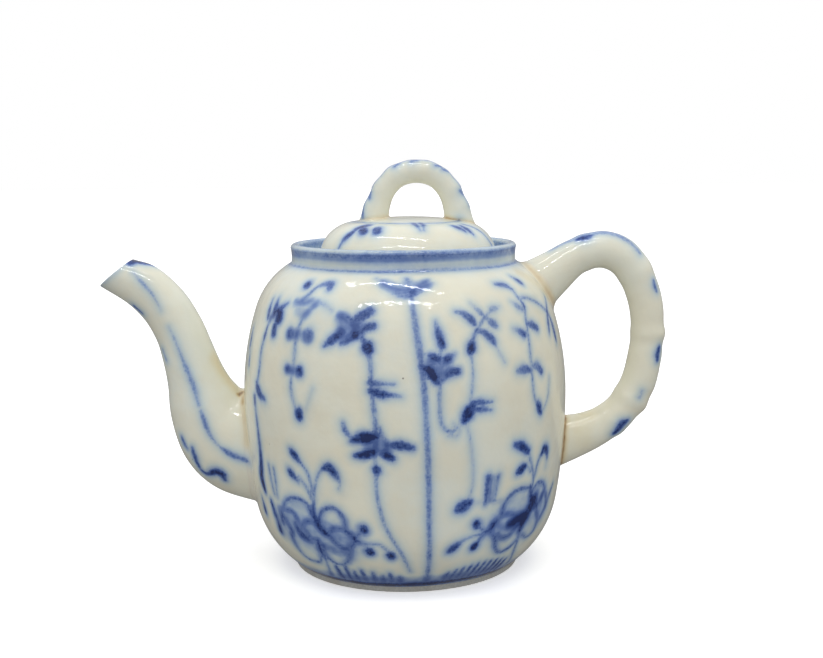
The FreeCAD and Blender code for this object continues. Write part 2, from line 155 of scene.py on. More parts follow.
class Turned:
    """A surface turned about an upright axis. Its section is a chain of arcs, each given by
    centre radius, centre height, arc radius, first angle and last angle."""

    def __init__(self, arcs, axis_x=0.0):
        self.arcs = arcs
        self.axis_x = axis_x

    def outline(self, spacing):
        """Points (radius, height) along the section, about this far apart."""
        rows = []
        for centre_r, centre_z, radius, start, end in self.arcs:
            count = max(2, math.ceil(abs(end - start) * radius / spacing))
            for angle in np.linspace(start, end, count + 1):
                rows.append((centre_r + radius * math.cos(angle),
                             centre_z + radius * math.sin(angle)))
            joint = rows.pop()
        return rows + [joint]

    def radius_at(self, z):
        z = np.asarray(z, float)
        found = np.zeros_like(z)
        for centre_r, centre_z, radius, start, end in self.arcs:
            angle = np.arcsin(np.clip((z - centre_z) / radius, -1, 1))
            inside = (angle > start - ARC_SLACK) & (angle < end + ARC_SLACK)
            found = np.where(inside, centre_r + radius * np.cos(angle), found)
        return found

    def height_at(self, r):
        r = np.asarray(r, float)
        found = np.zeros_like(r)
        for centre_r, centre_z, radius, start, end in self.arcs:
            angle = np.arccos(np.clip((r - centre_r) / radius, -1, 1))
            inside = (angle > start - ARC_SLACK) & (angle < end + ARC_SLACK)
            found = np.where(inside, centre_z + radius * np.sin(angle), found)
        return found

    def measure(self, points):
        """How far points lie outside the surface, and the way out of it there."""
        x = points[..., 0] - self.axis_x
        y = points[..., 1]
        z = points[..., 2]
        r = np.hypot(x, y)
        nearest = np.full(r.shape, 1e9)
        outside = np.zeros(r.shape)
        rise = np.zeros(r.shape)
        for centre_r, centre_z, radius, start, end in self.arcs:
            angle = np.clip(np.arctan2(z - centre_z, r - centre_r), start, end)
            gap = np.hypot(r - centre_r - radius * np.cos(angle),
                           z - centre_z - radius * np.sin(angle))
            out = np.hypot(r - centre_r, z - centre_z) - radius
            closer = gap < nearest
            nearest = np.where(closer, gap, nearest)
            outside = np.where(closer, np.sign(out) * gap, outside)
            rise = np.where(closer, angle, rise)
        spread = np.cos(rise) / np.maximum(r, 1e-6)
        normal = np.stack([spread * x, spread * y, np.sin(rise)], -1)
        return outside, normal


def run_inside(big, radius, centre_r, above):
    """Centre and radius of an arc that runs into a bigger arc from inside."""
    rise = math.sqrt((big[2] - radius) ** 2 - (centre_r - big[0]) ** 2)
    return centre_r, big[1] + (rise if above else -rise), radius


def heading(start, end):
    return math.atan2(end[1] - start[1], end[0] - start[0])


def belly(inset, base, top=None):
    """The pot's side: corner, lower side, upper side and shoulder arcs. Without a top it
    ends where its shoulder is as wide as the mouth."""
    low = (BELLY - LOW_SIDE, BELLY_HEIGHT, LOW_SIDE - inset)
    high = (BELLY - HIGH_SIDE, BELLY_HEIGHT, HIGH_SIDE - inset)
    corner = run_inside(low, CORNER - inset, CORNER_OUT, False)
    shoulder = run_inside(high, SHOULDER - inset, SHOULDER_OUT, True)
    if top is None:
        top = shoulder[1] + math.sqrt(shoulder[2] ** 2 - (MOUTH - SHOULDER_OUT) ** 2)
    first = math.asin((base - corner[1]) / corner[2])
    low_turn = heading(low, corner)
    high_turn = heading(high, shoulder)
    last = math.asin((top - shoulder[1]) / shoulder[2])
    return Turned([corner + (first, low_turn), low + (low_turn, 0.0),
                   high + (0.0, high_turn), shoulder + (high_turn, last)])


def dome(inset, base):
    """The lid's crown: a shoulder arc and a crown arc that ends on the axis."""
    crown = (0.0, LID_TOP - CROWN, CROWN - inset)
    shoulder = run_inside(crown, LID_SHOULDER - inset, LID_SHOULDER_OUT, True)
    start = math.asin((base - shoulder[1]) / shoulder[2])
    middle = heading(crown, shoulder)
    return Turned([shoulder + (start, middle), crown + (middle, UP)], LID_X)


POT = belly(0.0, BASE, NECK)
POT_INSIDE = belly(WALL, FLOOR)
LID = dome(0.0, NECK + FLANGE_THICK)
LID_INSIDE = dome(LID_WALL, NECK)


# ---------------------------------------------------------------- oval bars

def catmull(a, b, c, d, t):
    return 0.5 * (2 * b + (c - a) * t + (2 * a - 5 * b + 4 * c - d) * t ** 2
                  + (3 * b - a - 3 * c + d) * t ** 3)


class Bar:
    """An oval bar through stations. A place on it is a station number, which may fall
    between two stations, and an angle round it: 0 on the inner side, 270 in front."""

    def __init__(self, stations, shift=0.0, knots=(), inner=0.0):
        rows = np.array(stations, float) + (shift, 0, 0, 0, 0)
        self.rows = np.vstack([2 * rows[0] - rows[1], rows, 2 * rows[-1] - rows[-2]])
        self.last = len(rows) - 1
        self.knots = knots
        self.inner = inner

    def swell(self, place, angle):
        """How far the surface stands out at the bamboo knots, mostly on the outer side."""
        place = np.asarray(place, float)
        grow = np.zeros(np.broadcast(place, angle).shape)
        for at, height, width in self.knots:
            off = (place - at) / width
            grow = grow + height * (np.exp(-off ** 2) - 0.5 * np.exp(-(off - 1.9) ** 2)
                                    - 0.3 * np.exp(-(off + 1.9) ** 2))
        outer = 0.5 - 0.5 * np.cos(angle)
        return grow * (self.inner + (1 - self.inner) * outer ** 2)

    def point(self, place, angle, grow=0.0):
        place = np.asarray(place, float)
        i = np.clip(place.astype(int), 0, self.last - 1)
        at = catmull(self.rows[i], self.rows[i + 1], self.rows[i + 2], self.rows[i + 3],
                     (place - i)[..., None])
        tilt = np.radians(at[..., 2])
        grow = grow + self.swell(place, angle)
        high = (at[..., 3] + grow) * np.cos(angle)
        wide = (at[..., 4] + grow) * np.sin(angle)
        return np.stack([at[..., 0] + high * np.cos(tilt), wide,
                         at[..., 1] - high * np.sin(tilt)], -1)


SPOUT_BAR = Bar(SPOUT)
HANDLE_BAR = Bar(HANDLE, knots=[(2.35, 0.22, 0.20), (4.9, 0.2, 0.24), (7.1, 0.42, 0.2),
                                (9.4, 0.45, 0.18), (10.3, 0.2, 0.16)], inner=0.3)
LOOP_BAR = Bar(LOOP, shift=LOOP_X,
               knots=[(0.9, 0.26, 0.3), (1.9, 0.16, 0.3), (2.8, 0.22, 0.3), (3.7, 0.12, 0.3),
                      (4.5, 0.2, 0.3), (5.4, 0.14, 0.3), (6.2, 0.24, 0.3), (7.1, 0.26, 0.3)])

# Where each bar stands: the bar, the turned surface it stands on, its place well inside that
# surface and a place well outside it.
SPOUT_ROOT = (SPOUT_BAR, POT, 0.0, 3.4)
HANDLE_TOP = (HANDLE_BAR, POT, 0.0, 2.6)
HANDLE_FOOT = (HANDLE_BAR, POT, HANDLE_BAR.last, HANDLE_BAR.last - 1.6)
LOOP_SPOUT_SIDE = (LOOP_BAR, LID, 0.0, 1.4)
LOOP_HANDLE_SIDE = (LOOP_BAR, LID, LOOP_BAR.last, LOOP_BAR.last - 1.4)
JOIN_STEPS = 800


def join_places(join, angles, level=0.0, grow=0.0):
    """The places where a bar, grown a little, comes out of its base, at each angle."""
    bar, base, start, towards = join
    places = np.linspace(start, towards, JOIN_STEPS)
    gap = base.measure(bar.point(places[:, None], angles[None, :], grow))[0] - level
    first = np.maximum(np.argmax(gap > 0, axis=0), 1)
    column = np.arange(len(angles))
    before, after = gap[first - 1, column], gap[first, column]
    share = np.clip(before / np.minimum(before - after, -1e-9), 0, 1)
    return places[first - 1] + share * (places[first] - places[first - 1])


def around(columns):
    """Angles evenly round a full turn."""
    return np.arange(columns) / columns * TURN


# ---------------------------------------------------------------- brush strokes

def smooth_line(rows, steps=6):
    """A curve through rows of numbers, in even steps between each two."""
    rows = np.array(rows, float)
    padded = np.vstack([2 * rows[0] - rows[1], rows, 2 * rows[-1] - rows[-2]])
    share = np.arange(steps) / steps
    parts = [catmull(a, b, c, d, share[:, None])
             for a, b, c, d in zip(padded, padded[1:], padded[2:], padded[3:])]
    return np.vstack(parts + [rows[-1:]])


class Brush:
    """Lays strokes on one surface, which turns a pair of numbers into a point."""

    def __init__(self, surface):
        self.surface = surface
        self.strokes = []

    def stroke(self, points, half, tone, kind="ink"):
        """A smooth line of points, with a half width and a tone, or one for each point."""
        count = len(points)
        half = [half] * count if np.isscalar(half) else half
        tone = [tone] * count if np.isscalar(tone) else tone
        rows = smooth_line([tuple(p) + (h, t) for p, h, t in zip(points, half, tone)])
        line = self.surface(rows[:, 0], rows[:, 1])
        self.strokes.append((line, np.maximum(rows[:, 2], THINNEST), rows[:, 3], kind))

    def line(self, points, half=0.4, tone=0.42):
        """A thin line that the brush starts and leaves lightly."""
        ends = [0.7] + [1.0] * (len(points) - 2) + [0.6]
        self.stroke(points, [half * e for e in ends], tone)

    def leaf(self, start, end, half=1.2, tone=0.7, bend=0.0, heavy=0.5):
        """One press of the brush: pointed at its start, fullest past its middle."""
        (x0, z0), (x1, z1) = start, end
        dx, dz = x1 - x0, z1 - z0
        points = [(x0 + dx * s - dz * bend * 4 * s * (1 - s),
                   z0 + dz * s + dx * bend * 4 * s * (1 - s)) for s in (0, 0.3, 0.62, 0.88, 1)]
        fullness = (0.3, 0.75, 1.0, 0.85, 0.55)
        strength = (0.75, 0.9, 1.0 + 0.2 * heavy, 1.0 + 0.2 * heavy, 0.95)
        self.stroke(points, [half * f for f in fullness], [tone * s for s in strength])

    def dab(self, at, half=1.3, tone=0.8, height=0.5):
        """A round or slightly upright touch of the brush."""
        x, z = at
        self.stroke([(x - 0.1, z + height), (x + 0.1, z - height)], half, tone)

    def wash(self, points, half=1.6, tone=0.4):
        """A pale, watery patch."""
        self.stroke(points, half, tone, "wash")

    def stain(self, points, half, tone):
        """Brown that has crept into a join."""
        self.stroke(points, half, tone, "stain")

    def touches(self, *groups):
        """Several washes, each a line of points, a half width and a tone."""
        for points, half, tone in groups:
            self.wash(points, half, tone)


def distance_to(points, line, half, tone):
    """Each point's distance outside a stroke, and the stroke's tone nearest to it."""
    best = np.full(len(points), 99.0)
    shade = np.zeros(len(points))
    for a, b, half_a, half_b, tone_a, tone_b in zip(line, line[1:], half, half[1:],
                                                    tone, tone[1:]):
        along = b - a
        share = np.clip((points - a) @ along / max(along @ along, 1e-9), 0, 1)
        gap = np.linalg.norm(points - a - share[:, None] * along, axis=1)
        gap -= half_a + share * (half_b - half_a)
        closer = gap < best
        best = np.where(closer, gap, best)
        shade = np.where(closer, tone_a + share * (tone_b - tone_a), shade)
    return best, shade


def lay_paint(points, strokes):
    """What every vertex knows of the strokes: ink is REACH at a stroke's edge and more
    inside it, tone its strength, wash and stain how much of those lies there."""
    count = len(points)
    ink, weight, toned, layers = (np.zeros(count) for _ in range(4))
    wash, stain = np.zeros(count), np.zeros(count)
    for line, half, tone, kind in strokes:
        margin = half.max() + REACH
        near = np.flatnonzero(((points > line.min(0) - margin)
                               & (points < line.max(0) + margin)).all(1))
        if len(near) == 0:
            continue
        gap, shade = distance_to(points[near], line, half, tone)
        if kind == "ink":
            pull = np.exp(-3.0 * np.clip(gap, -0.7, 3.0))
            ink[near] = np.maximum(ink[near], REACH - gap)
            weight[near] += pull
            toned[near] += pull * shade
            layers[near] += np.clip(0.5 - gap / 0.5, 0, 1)
        else:
            soft = 1.4 + 0.9 * half.max()
            share = np.clip(0.5 - gap / soft, 0, 1)
            share = share * share * (3 - 2 * share) * shade
            if kind == "wash":
                wash[near] = np.maximum(wash[near], share)
            else:
                stain[near] = np.maximum(stain[near], share)
    tone = toned / np.maximum(weight, 1e-9) + 0.12 * np.maximum(layers - 1, 0)
    return {"ink": np.clip(ink, 0, 8), "tone": np.clip(tone, 0, 1.1),
            "wash": wash, "stain": stain}


# ---------------------------------------------------------------- surfaces to paint on

def on_pot(shift=0.0):
    """Round the pot from the middle of the front, and up it."""
    def surface(around, z):
        angle = (around + shift) / ARC_SCALE
        r = POT.radius_at(z)
        return np.stack([r * np.sin(angle), -r * np.cos(angle), z], -1)
    return surface


def on_ring(radius, axis_x=0.0):
    """Round an upright ring, in degrees from the front, and up it."""
    def surface(degrees, z):
        angle = np.radians(degrees)
        return np.stack([axis_x + radius * np.sin(angle), -radius * np.cos(angle), z], -1)
    return surface


def on_lid(degrees, r):
    """Round the lid in degrees from the front, and out from its middle."""
    angle = np.radians(degrees)
    return np.stack([LID_X + r * np.sin(angle), -r * np.cos(angle), LID.height_at(r)], -1)


def on_bar(bar):
    def surface(place, degrees):
        return bar.point(place, np.radians(degrees))
    return surface


def full_turn(brush, height, half, tone, kind="ink", unit=1.0):
    """A line all the way round, a little uneven in height, width and tone."""
    rows = []
    for degrees in range(0, 361, 6):
        angle = math.radians(degrees)
        rise = 0.22 * math.sin(2 * angle + 0.5) + 0.12 * math.sin(5 * angle)
        rows.append((degrees * unit, height + rise, half * (1 + 0.16 * math.sin(3 * angle + 1)),
                     tone * (1 + 0.12 * math.sin(4 * angle + 2))))
    brush.stroke([row[:2] for row in rows], [row[2] for row in rows],
                 [row[3] for row in rows], kind)


# ---------------------------------------------------------------- painting on the pot

def paint_middle(b):
    """The half rosette under the neck and the long line down the middle."""
    b.stroke([(-9, 92.2), (-4.5, 90.8), (0.6, 89.4), (5.6, 90.6), (11, 92.2)],
             [0.5, 1.1, 1.6, 1.2, 0.4], [0.22, 0.28, 0.36, 0.4, 0.26])
    b.wash([(-6, 92.4), (0, 91.2), (8, 92.2)], 1.6, 0.4)
    b.line([(-10, 93.6), (-8.4, 93), (-6.8, 92.2)], 0.5, 0.32)
    b.line([(9.8, 93.2), (8, 92.6), (6.2, 92)], 0.4, 0.24)
    b.dab((1.6, 93.2), 0.9, 0.42, 0.2)
    b.dab((3.4, 89.9), 1.0, 0.5, 0.4)
    b.stroke([(2.8, 88.2), (4, 79.5), (5.2, 70), (5.9, 61), (6.4, 50), (6.8, 38), (7.1, 24),
              (7.6, 12), (7.7, 4.5)],
             [0.8, 1.1, 1.05, 0.95, 0.95, 0.85, 0.8, 0.75, 0.7],
             [0.38, 0.42, 0.44, 0.42, 0.42, 0.45, 0.48, 0.5, 0.5])


def paint_upright_sprig(b):
    """The small upright sprig to the right of the middle line."""
    b.leaf((9.9, 82.2), (11.4, 76.2), 1.15, 0.62, -0.02, 1.6)
    b.dab((11.3, 76.0), 1.05, 0.95, 0.5)
    b.leaf((6.9, 73.4), (10.4, 71.6), 1.25, 0.72)
    b.leaf((15.1, 73.1), (11.9, 71.4), 1.1, 0.72)
    b.stroke([(5.3, 69.8), (7.2, 68.9), (8.6, 67.2), (9.5, 65.6)], [0.9, 1.3, 1.35, 0.9],
             [0.95, 1.0, 1.1, 1.0])
    b.stroke([(10.2, 65.2), (11.6, 66.6), (13.6, 68), (15.8, 68.3)], [0.6, 0.8, 1.2, 1.0],
             [0.5, 0.6, 0.85, 0.8])
    b.wash([(8, 71), (10.5, 68), (12.5, 71)], 1.5, 0.35)
    b.line([(11.1, 75.5), (10.5, 70.5), (10.3, 65.5), (10, 60), (10.3, 54.6), (11.6, 52.2),
            (13.4, 51.4), (15.2, 52.2)], 0.6, 0.42)
    b.line([(14, 53.6), (15.6, 51.8), (14.8, 50), (12.6, 50.4)], 0.35, 0.26)


def paint_cross_flower(b):
    """The crossed leaves on a long stem."""
    b.stroke([(16.6, 84.6), (19.3, 83.8), (21.2, 82.4), (22.4, 81)], [0.5, 1.0, 1.2, 0.8],
             [0.45, 0.5, 0.66, 0.75])
    b.leaf((22.4, 86.6), (26.4, 82.7), 0.9, 0.34)
    b.leaf((26.5, 82.6), (30.2, 79.7), 1.2, 0.44)
    b.leaf((33, 85.1), (29, 84.3), 1.1, 0.3)
    b.line([(29, 84.2), (26.6, 82.5), (24.6, 80.9), (22.7, 79.2)], 0.55, 0.42)
    b.stroke([(22.7, 79.2), (25.2, 78.4), (27.2, 76.9), (28.4, 75.4)], [0.6, 0.95, 1.15, 0.8],
             [0.5, 0.6, 0.72, 0.78])
    b.line([(28.4, 75.4), (29.8, 72.4), (31.3, 69.6)], 0.4, 0.3)
    b.line([(22.7, 79.2), (21.7, 77.4), (20.9, 75.5)], 0.7, 0.5)
    b.stroke([(20.8, 75.6), (20.3, 74.3), (19.8, 73.3)], [1.1, 1.3, 0.9], [0.9, 1.0, 0.9])
    b.line([(20, 73), (20.3, 68), (19.8, 63.5), (19.2, 60)], 0.42, 0.36)
    b.leaf((25.9, 58.9), (19.3, 59.2), 0.95, 0.6)
    b.leaf((25.8, 56.6), (20, 57.4), 0.85, 0.6)
    b.stroke([(19.6, 58.2), (18.4, 56.3), (17.2, 54.2)], [1.3, 1.7, 1.1], [0.85, 1.0, 0.9])
    b.line([(17.4, 54), (18.8, 49.6), (19.9, 42), (20.1, 36), (19.2, 31.4)], 0.45, 0.28)
    b.stroke([(15.6, 28), (17.2, 28.9), (19.4, 30)], [1.1, 1.8, 1.2], [0.6, 0.74, 0.8])
    b.line([(19.6, 29.8), (25.6, 29.6), (31.6, 28.9)], 0.28, 0.26)
    b.stroke([(25.2, 36.9), (25, 33), (24.6, 29)], [1.0, 0.85, 0.7], [0.66, 0.6, 0.66])
    b.stroke([(28.7, 36.7), (28.2, 33), (27.7, 29.2)], [0.75, 0.55, 0.45], [0.6, 0.46, 0.5])
    b.wash([(26.6, 36), (26.2, 30)], 0.9, 0.3)


def paint_right_vine(b):
    """The hanging vine near the handle and the grass that bends over beside it."""
    b.stroke([(35.4, 91), (38, 90.8), (40.6, 90.2), (42.5, 89)], [0.4, 0.8, 0.8, 0.5],
             [0.5, 0.62, 0.6, 0.45])
    b.leaf((47, 92.4), (50.8, 90.2), 0.85, 0.62)
    b.line([(42.5, 89), (43.1, 86.8), (44.6, 84.6), (43.7, 81.5), (43.1, 77.5), (42.5, 72),
            (42.1, 66), (42.2, 60.5), (43, 57), (44.2, 55)], 0.5, 0.42)
    b.leaf((38.9, 85.9), (43.4, 83.3), 1.2, 0.34)
    b.dab((44.4, 84.6), 0.8, 0.5, 0.5)
    b.stroke([(43.6, 79.3), (46, 78.7), (48.4, 77.5)], [0.6, 1.2, 1.0], [0.45, 0.56, 0.66])
    b.stroke([(36.8, 78.4), (39, 77.6), (41, 76.5)], [0.8, 1.1, 1.1], [0.3, 0.46, 0.8])
    b.stroke([(36.2, 66.6), (38.6, 66.7), (41.2, 66.3)], [1.0, 1.4, 1.0], [0.4, 0.52, 0.52])
    b.stroke([(43.3, 67.2), (45.2, 66.8), (46.9, 65.1)], [1.0, 1.4, 1.1], [0.42, 0.46, 0.6])
    b.stroke([(44.1, 56), (44.9, 54.6), (45.7, 53)], [1.0, 1.35, 0.9], [0.66, 0.78, 0.7])
    b.line([(47.4, 53.8), (50, 57.5), (51.4, 62.6)], 0.34, 0.26)
    b.line([(43.1, 86.8), (48.6, 86.1), (54.2, 84.1), (59.6, 80.6), (62.4, 76.6), (62.2, 72.8)],
           0.55, 0.46)
    b.leaf((63.8, 85.2), (56.4, 75), 0.8, 0.55, -0.08)
    b.leaf((60.4, 81), (61.6, 72), 1.0, 0.62, 0.03)


def paint_left_vine(b):
    """The hanging vine with paired round leaves on the left of the front."""
    b.dab((-37.8, 91.2), 1.4, 0.74, 0.1)
    b.stroke([(-32.6, 91), (-30, 91.7), (-27.4, 91.8), (-27, 90.6)], [0.5, 0.9, 1.3, 0.9],
             [0.4, 0.5, 0.55, 0.6])
    b.line([(-32.6, 91), (-34.6, 88.9), (-36.6, 87)], 0.7, 0.42)
    b.wash([(-38.6, 86.2), (-35.2, 86.4), (-31, 86.6)], 1.5, 0.32)
    b.line([(-39.4, 86.8), (-36, 86.2), (-32.4, 87.4)], 0.42, 0.2)
    b.stroke([(-31, 85.4), (-28.7, 86.6), (-25.8, 86), (-23.2, 84.8)], [0.5, 0.9, 0.7, 0.3], 0.26)
    b.wash([(-36.6, 84), (-33, 83.8)], 1.6, 0.3)
    b.line([(-29.6, 86), (-32.6, 83.8), (-34.4, 81), (-35.3, 77.6), (-35, 72.5), (-34.9, 68.5),
            (-35.4, 64.5), (-34.8, 60.5), (-33.2, 56.6)], 0.6, 0.36)
    b.dab((-38.2, 77.6), 1.5, 0.52, 0.3)
    b.dab((-30.4, 77.6), 1.8, 0.4, 0.5)
    b.wash([(-38, 77.4), (-34, 77.6), (-30.4, 77)], 1.4, 0.4)
    b.dab((-37.1, 67.7), 1.3, 0.62, 0.1)
    b.dab((-32.3, 67.3), 1.35, 0.68, 0.4)
    b.wash([(-37, 67.5), (-32.3, 67.3)], 1.0, 0.4)
    b.dab((-31.9, 55.2), 1.5, 0.84, 0.5)
    b.line([(-30.2, 55.4), (-28.2, 60), (-27.2, 63)], 0.3, 0.16)


def paint_left_edge(b):
    """The flower and the long leafy stem beside the spout."""
    b.leaf((-53.4, 86.2), (-52.2, 80.6), 0.9, 0.62)
    b.leaf((-49.6, 86.6), (-48.6, 82), 1.2, 0.72)
    b.leaf((-42.8, 85.9), (-47.6, 83), 1.1, 0.66)
    b.dab((-45.4, 81.8), 1.8, 1.0, 0.6)
    b.dab((-46.4, 77.8), 1.25, 0.74, 1.0)
    b.wash([(-50, 81), (-47.6, 83.2)], 1.2, 0.4)
    b.line([(-50.4, 81.2), (-51.4, 76.3), (-52.2, 71.6), (-52, 66), (-52.7, 60.8)], 0.65, 0.46)
    b.leaf((-50.9, 78.2), (-51.8, 74.6), 0.8, 0.62)
    b.stroke([(-53.2, 61.4), (-51.8, 59.4), (-49.6, 57.8)], [0.8, 1.5, 1.1], [0.6, 0.72, 0.6])
    b.leaf((-50.8, 58.8), (-47.2, 57.2), 0.8, 0.5)
    b.dab((-54.4, 56), 0.9, 0.66, 1.0)
    b.stroke([(-54.4, 56), (-53.6, 51.6), (-52.7, 46.6), (-52.3, 41.4), (-52.6, 36.4),
              (-53.6, 32.6), (-52.2, 28.4)],
             [0.5, 0.7, 0.85, 1.1, 1.25, 1.5, 0.7], [0.5, 0.55, 0.62, 0.72, 0.82, 1.0, 1.0])
    b.leaf((-64.4, 76.4), (-63.7, 70.6), 0.9, 0.5)
    b.leaf((-62.4, 69.6), (-61.6, 64.8), 0.75, 0.42)
    b.stroke([(-47.4, 37.6), (-46.8, 33), (-46, 28.8)], [0.5, 0.6, 0.5], 0.46)
    b.stroke([(-44.7, 36.9), (-44.3, 33), (-44.5, 28.6)], [0.75, 0.65, 0.5], 0.4)
    b.leaf((-56.2, 25.2), (-54.8, 20.6), 0.85, 0.86)
    b.stroke([(-48.8, 26), (-47.8, 22.8), (-46.6, 20), (-46.6, 17)], [0.6, 0.9, 0.8, 1.0],
             [0.86, 0.8, 0.7, 0.96])
    b.leaf((-44.6, 24.4), (-43.4, 20.2), 0.55, 0.72)


def paint_leaf_cluster(b):
    """The leafy head left of the middle, its stem and the second sprig below it."""
    b.stroke([(-15.8, 82.2), (-13.2, 83.6), (-10.4, 85)], [0.9, 1.6, 1.4], [0.5, 0.62, 0.66])
    b.line([(-20.6, 84), (-17.4, 83.2), (-14.4, 80.8), (-12, 78.6)], 0.85, 0.5)
    b.wash([(-19.4, 82.4), (-17.6, 80), (-14.6, 80.8)], 2.0, 0.46)
    b.stroke([(-13, 79.2), (-11.2, 80.6), (-9.2, 81.2)], [0.8, 1.3, 1.1], [0.66, 0.76, 0.72])
    b.dab((-14.4, 78.6), 1.2, 0.86, 0.3)
    b.stroke([(-24.4, 75.2), (-22, 76.8), (-19.4, 78.8)], [0.5, 1.3, 1.25], [0.6, 0.7, 0.8])
    b.stroke([(-18.7, 76.2), (-16.6, 77.3), (-14.6, 78.4)], [0.8, 1.2, 1.1], [0.56, 0.62, 0.74])
    b.wash([(-19, 78.4), (-14.4, 79.2)], 1.6, 0.4)
    b.line([(-12.8, 78.2), (-11.6, 76.8), (-10.8, 75.6)], 0.9, 0.62)
    b.dab((-10.5, 75.1), 1.65, 0.98, 0.4)
    b.stroke([(-10.4, 74), (-9.5, 70.8), (-9.2, 66), (-8.6, 60), (-8, 54.4), (-8, 51)],
             [0.9, 0.75, 0.7, 0.75, 0.8, 0.8], [0.5, 0.42, 0.42, 0.45, 0.46, 0.5])
    b.stroke([(-9.2, 65.5), (-7.2, 65.4), (-2.6, 65.2)], [1.1, 0.9, 0.25], [0.7, 0.6, 0.4])
    b.stroke([(-9.2, 63.4), (-6.4, 62.5), (-4.2, 62.3), (-0.8, 61.8)], [1.1, 1.2, 0.7, 0.22],
             [0.76, 0.92, 0.8, 0.36])
    b.line([(-17.4, 53.9), (-16.6, 51.6), (-14.4, 49.5)], 0.85, 0.5)
    b.stroke([(-14.8, 49.1), (-11.6, 50), (-8, 50.4)], [0.9, 1.6, 1.3], [0.85, 1.1, 1.0])
    b.stroke([(-13.8, 44.7), (-11, 45.2), (-8.4, 45.8)], [0.8, 1.3, 1.2], [0.82, 0.95, 0.9])
    b.stroke([(-4.4, 48), (-1.2, 48), (2.3, 47.1)], [0.8, 1.35, 0.9], [0.6, 0.76, 0.72])
    b.stroke([(-6.4, 45.4), (-4.9, 45.2), (-3.3, 44.2)], [0.8, 1.3, 0.9], [0.8, 0.9, 0.8])
    b.line([(-6.9, 53.2), (-6.1, 50.6), (-4.6, 48.6)], 0.7, 0.48)
    b.wash([(-9.6, 48), (-5.4, 47.4)], 1.8, 0.5)
    b.dab((-7.9, 40.8), 1.15, 0.86, 0.4)
    b.line([(-8, 51), (-8.2, 46), (-8.1, 40), (-8.1, 35), (-7.6, 30.5), (-6.3, 25.1),
            (-4.3, 20.6), (-2.1, 16.9), (-0.2, 13), (1.6, 8.6)], 0.55, 0.42)


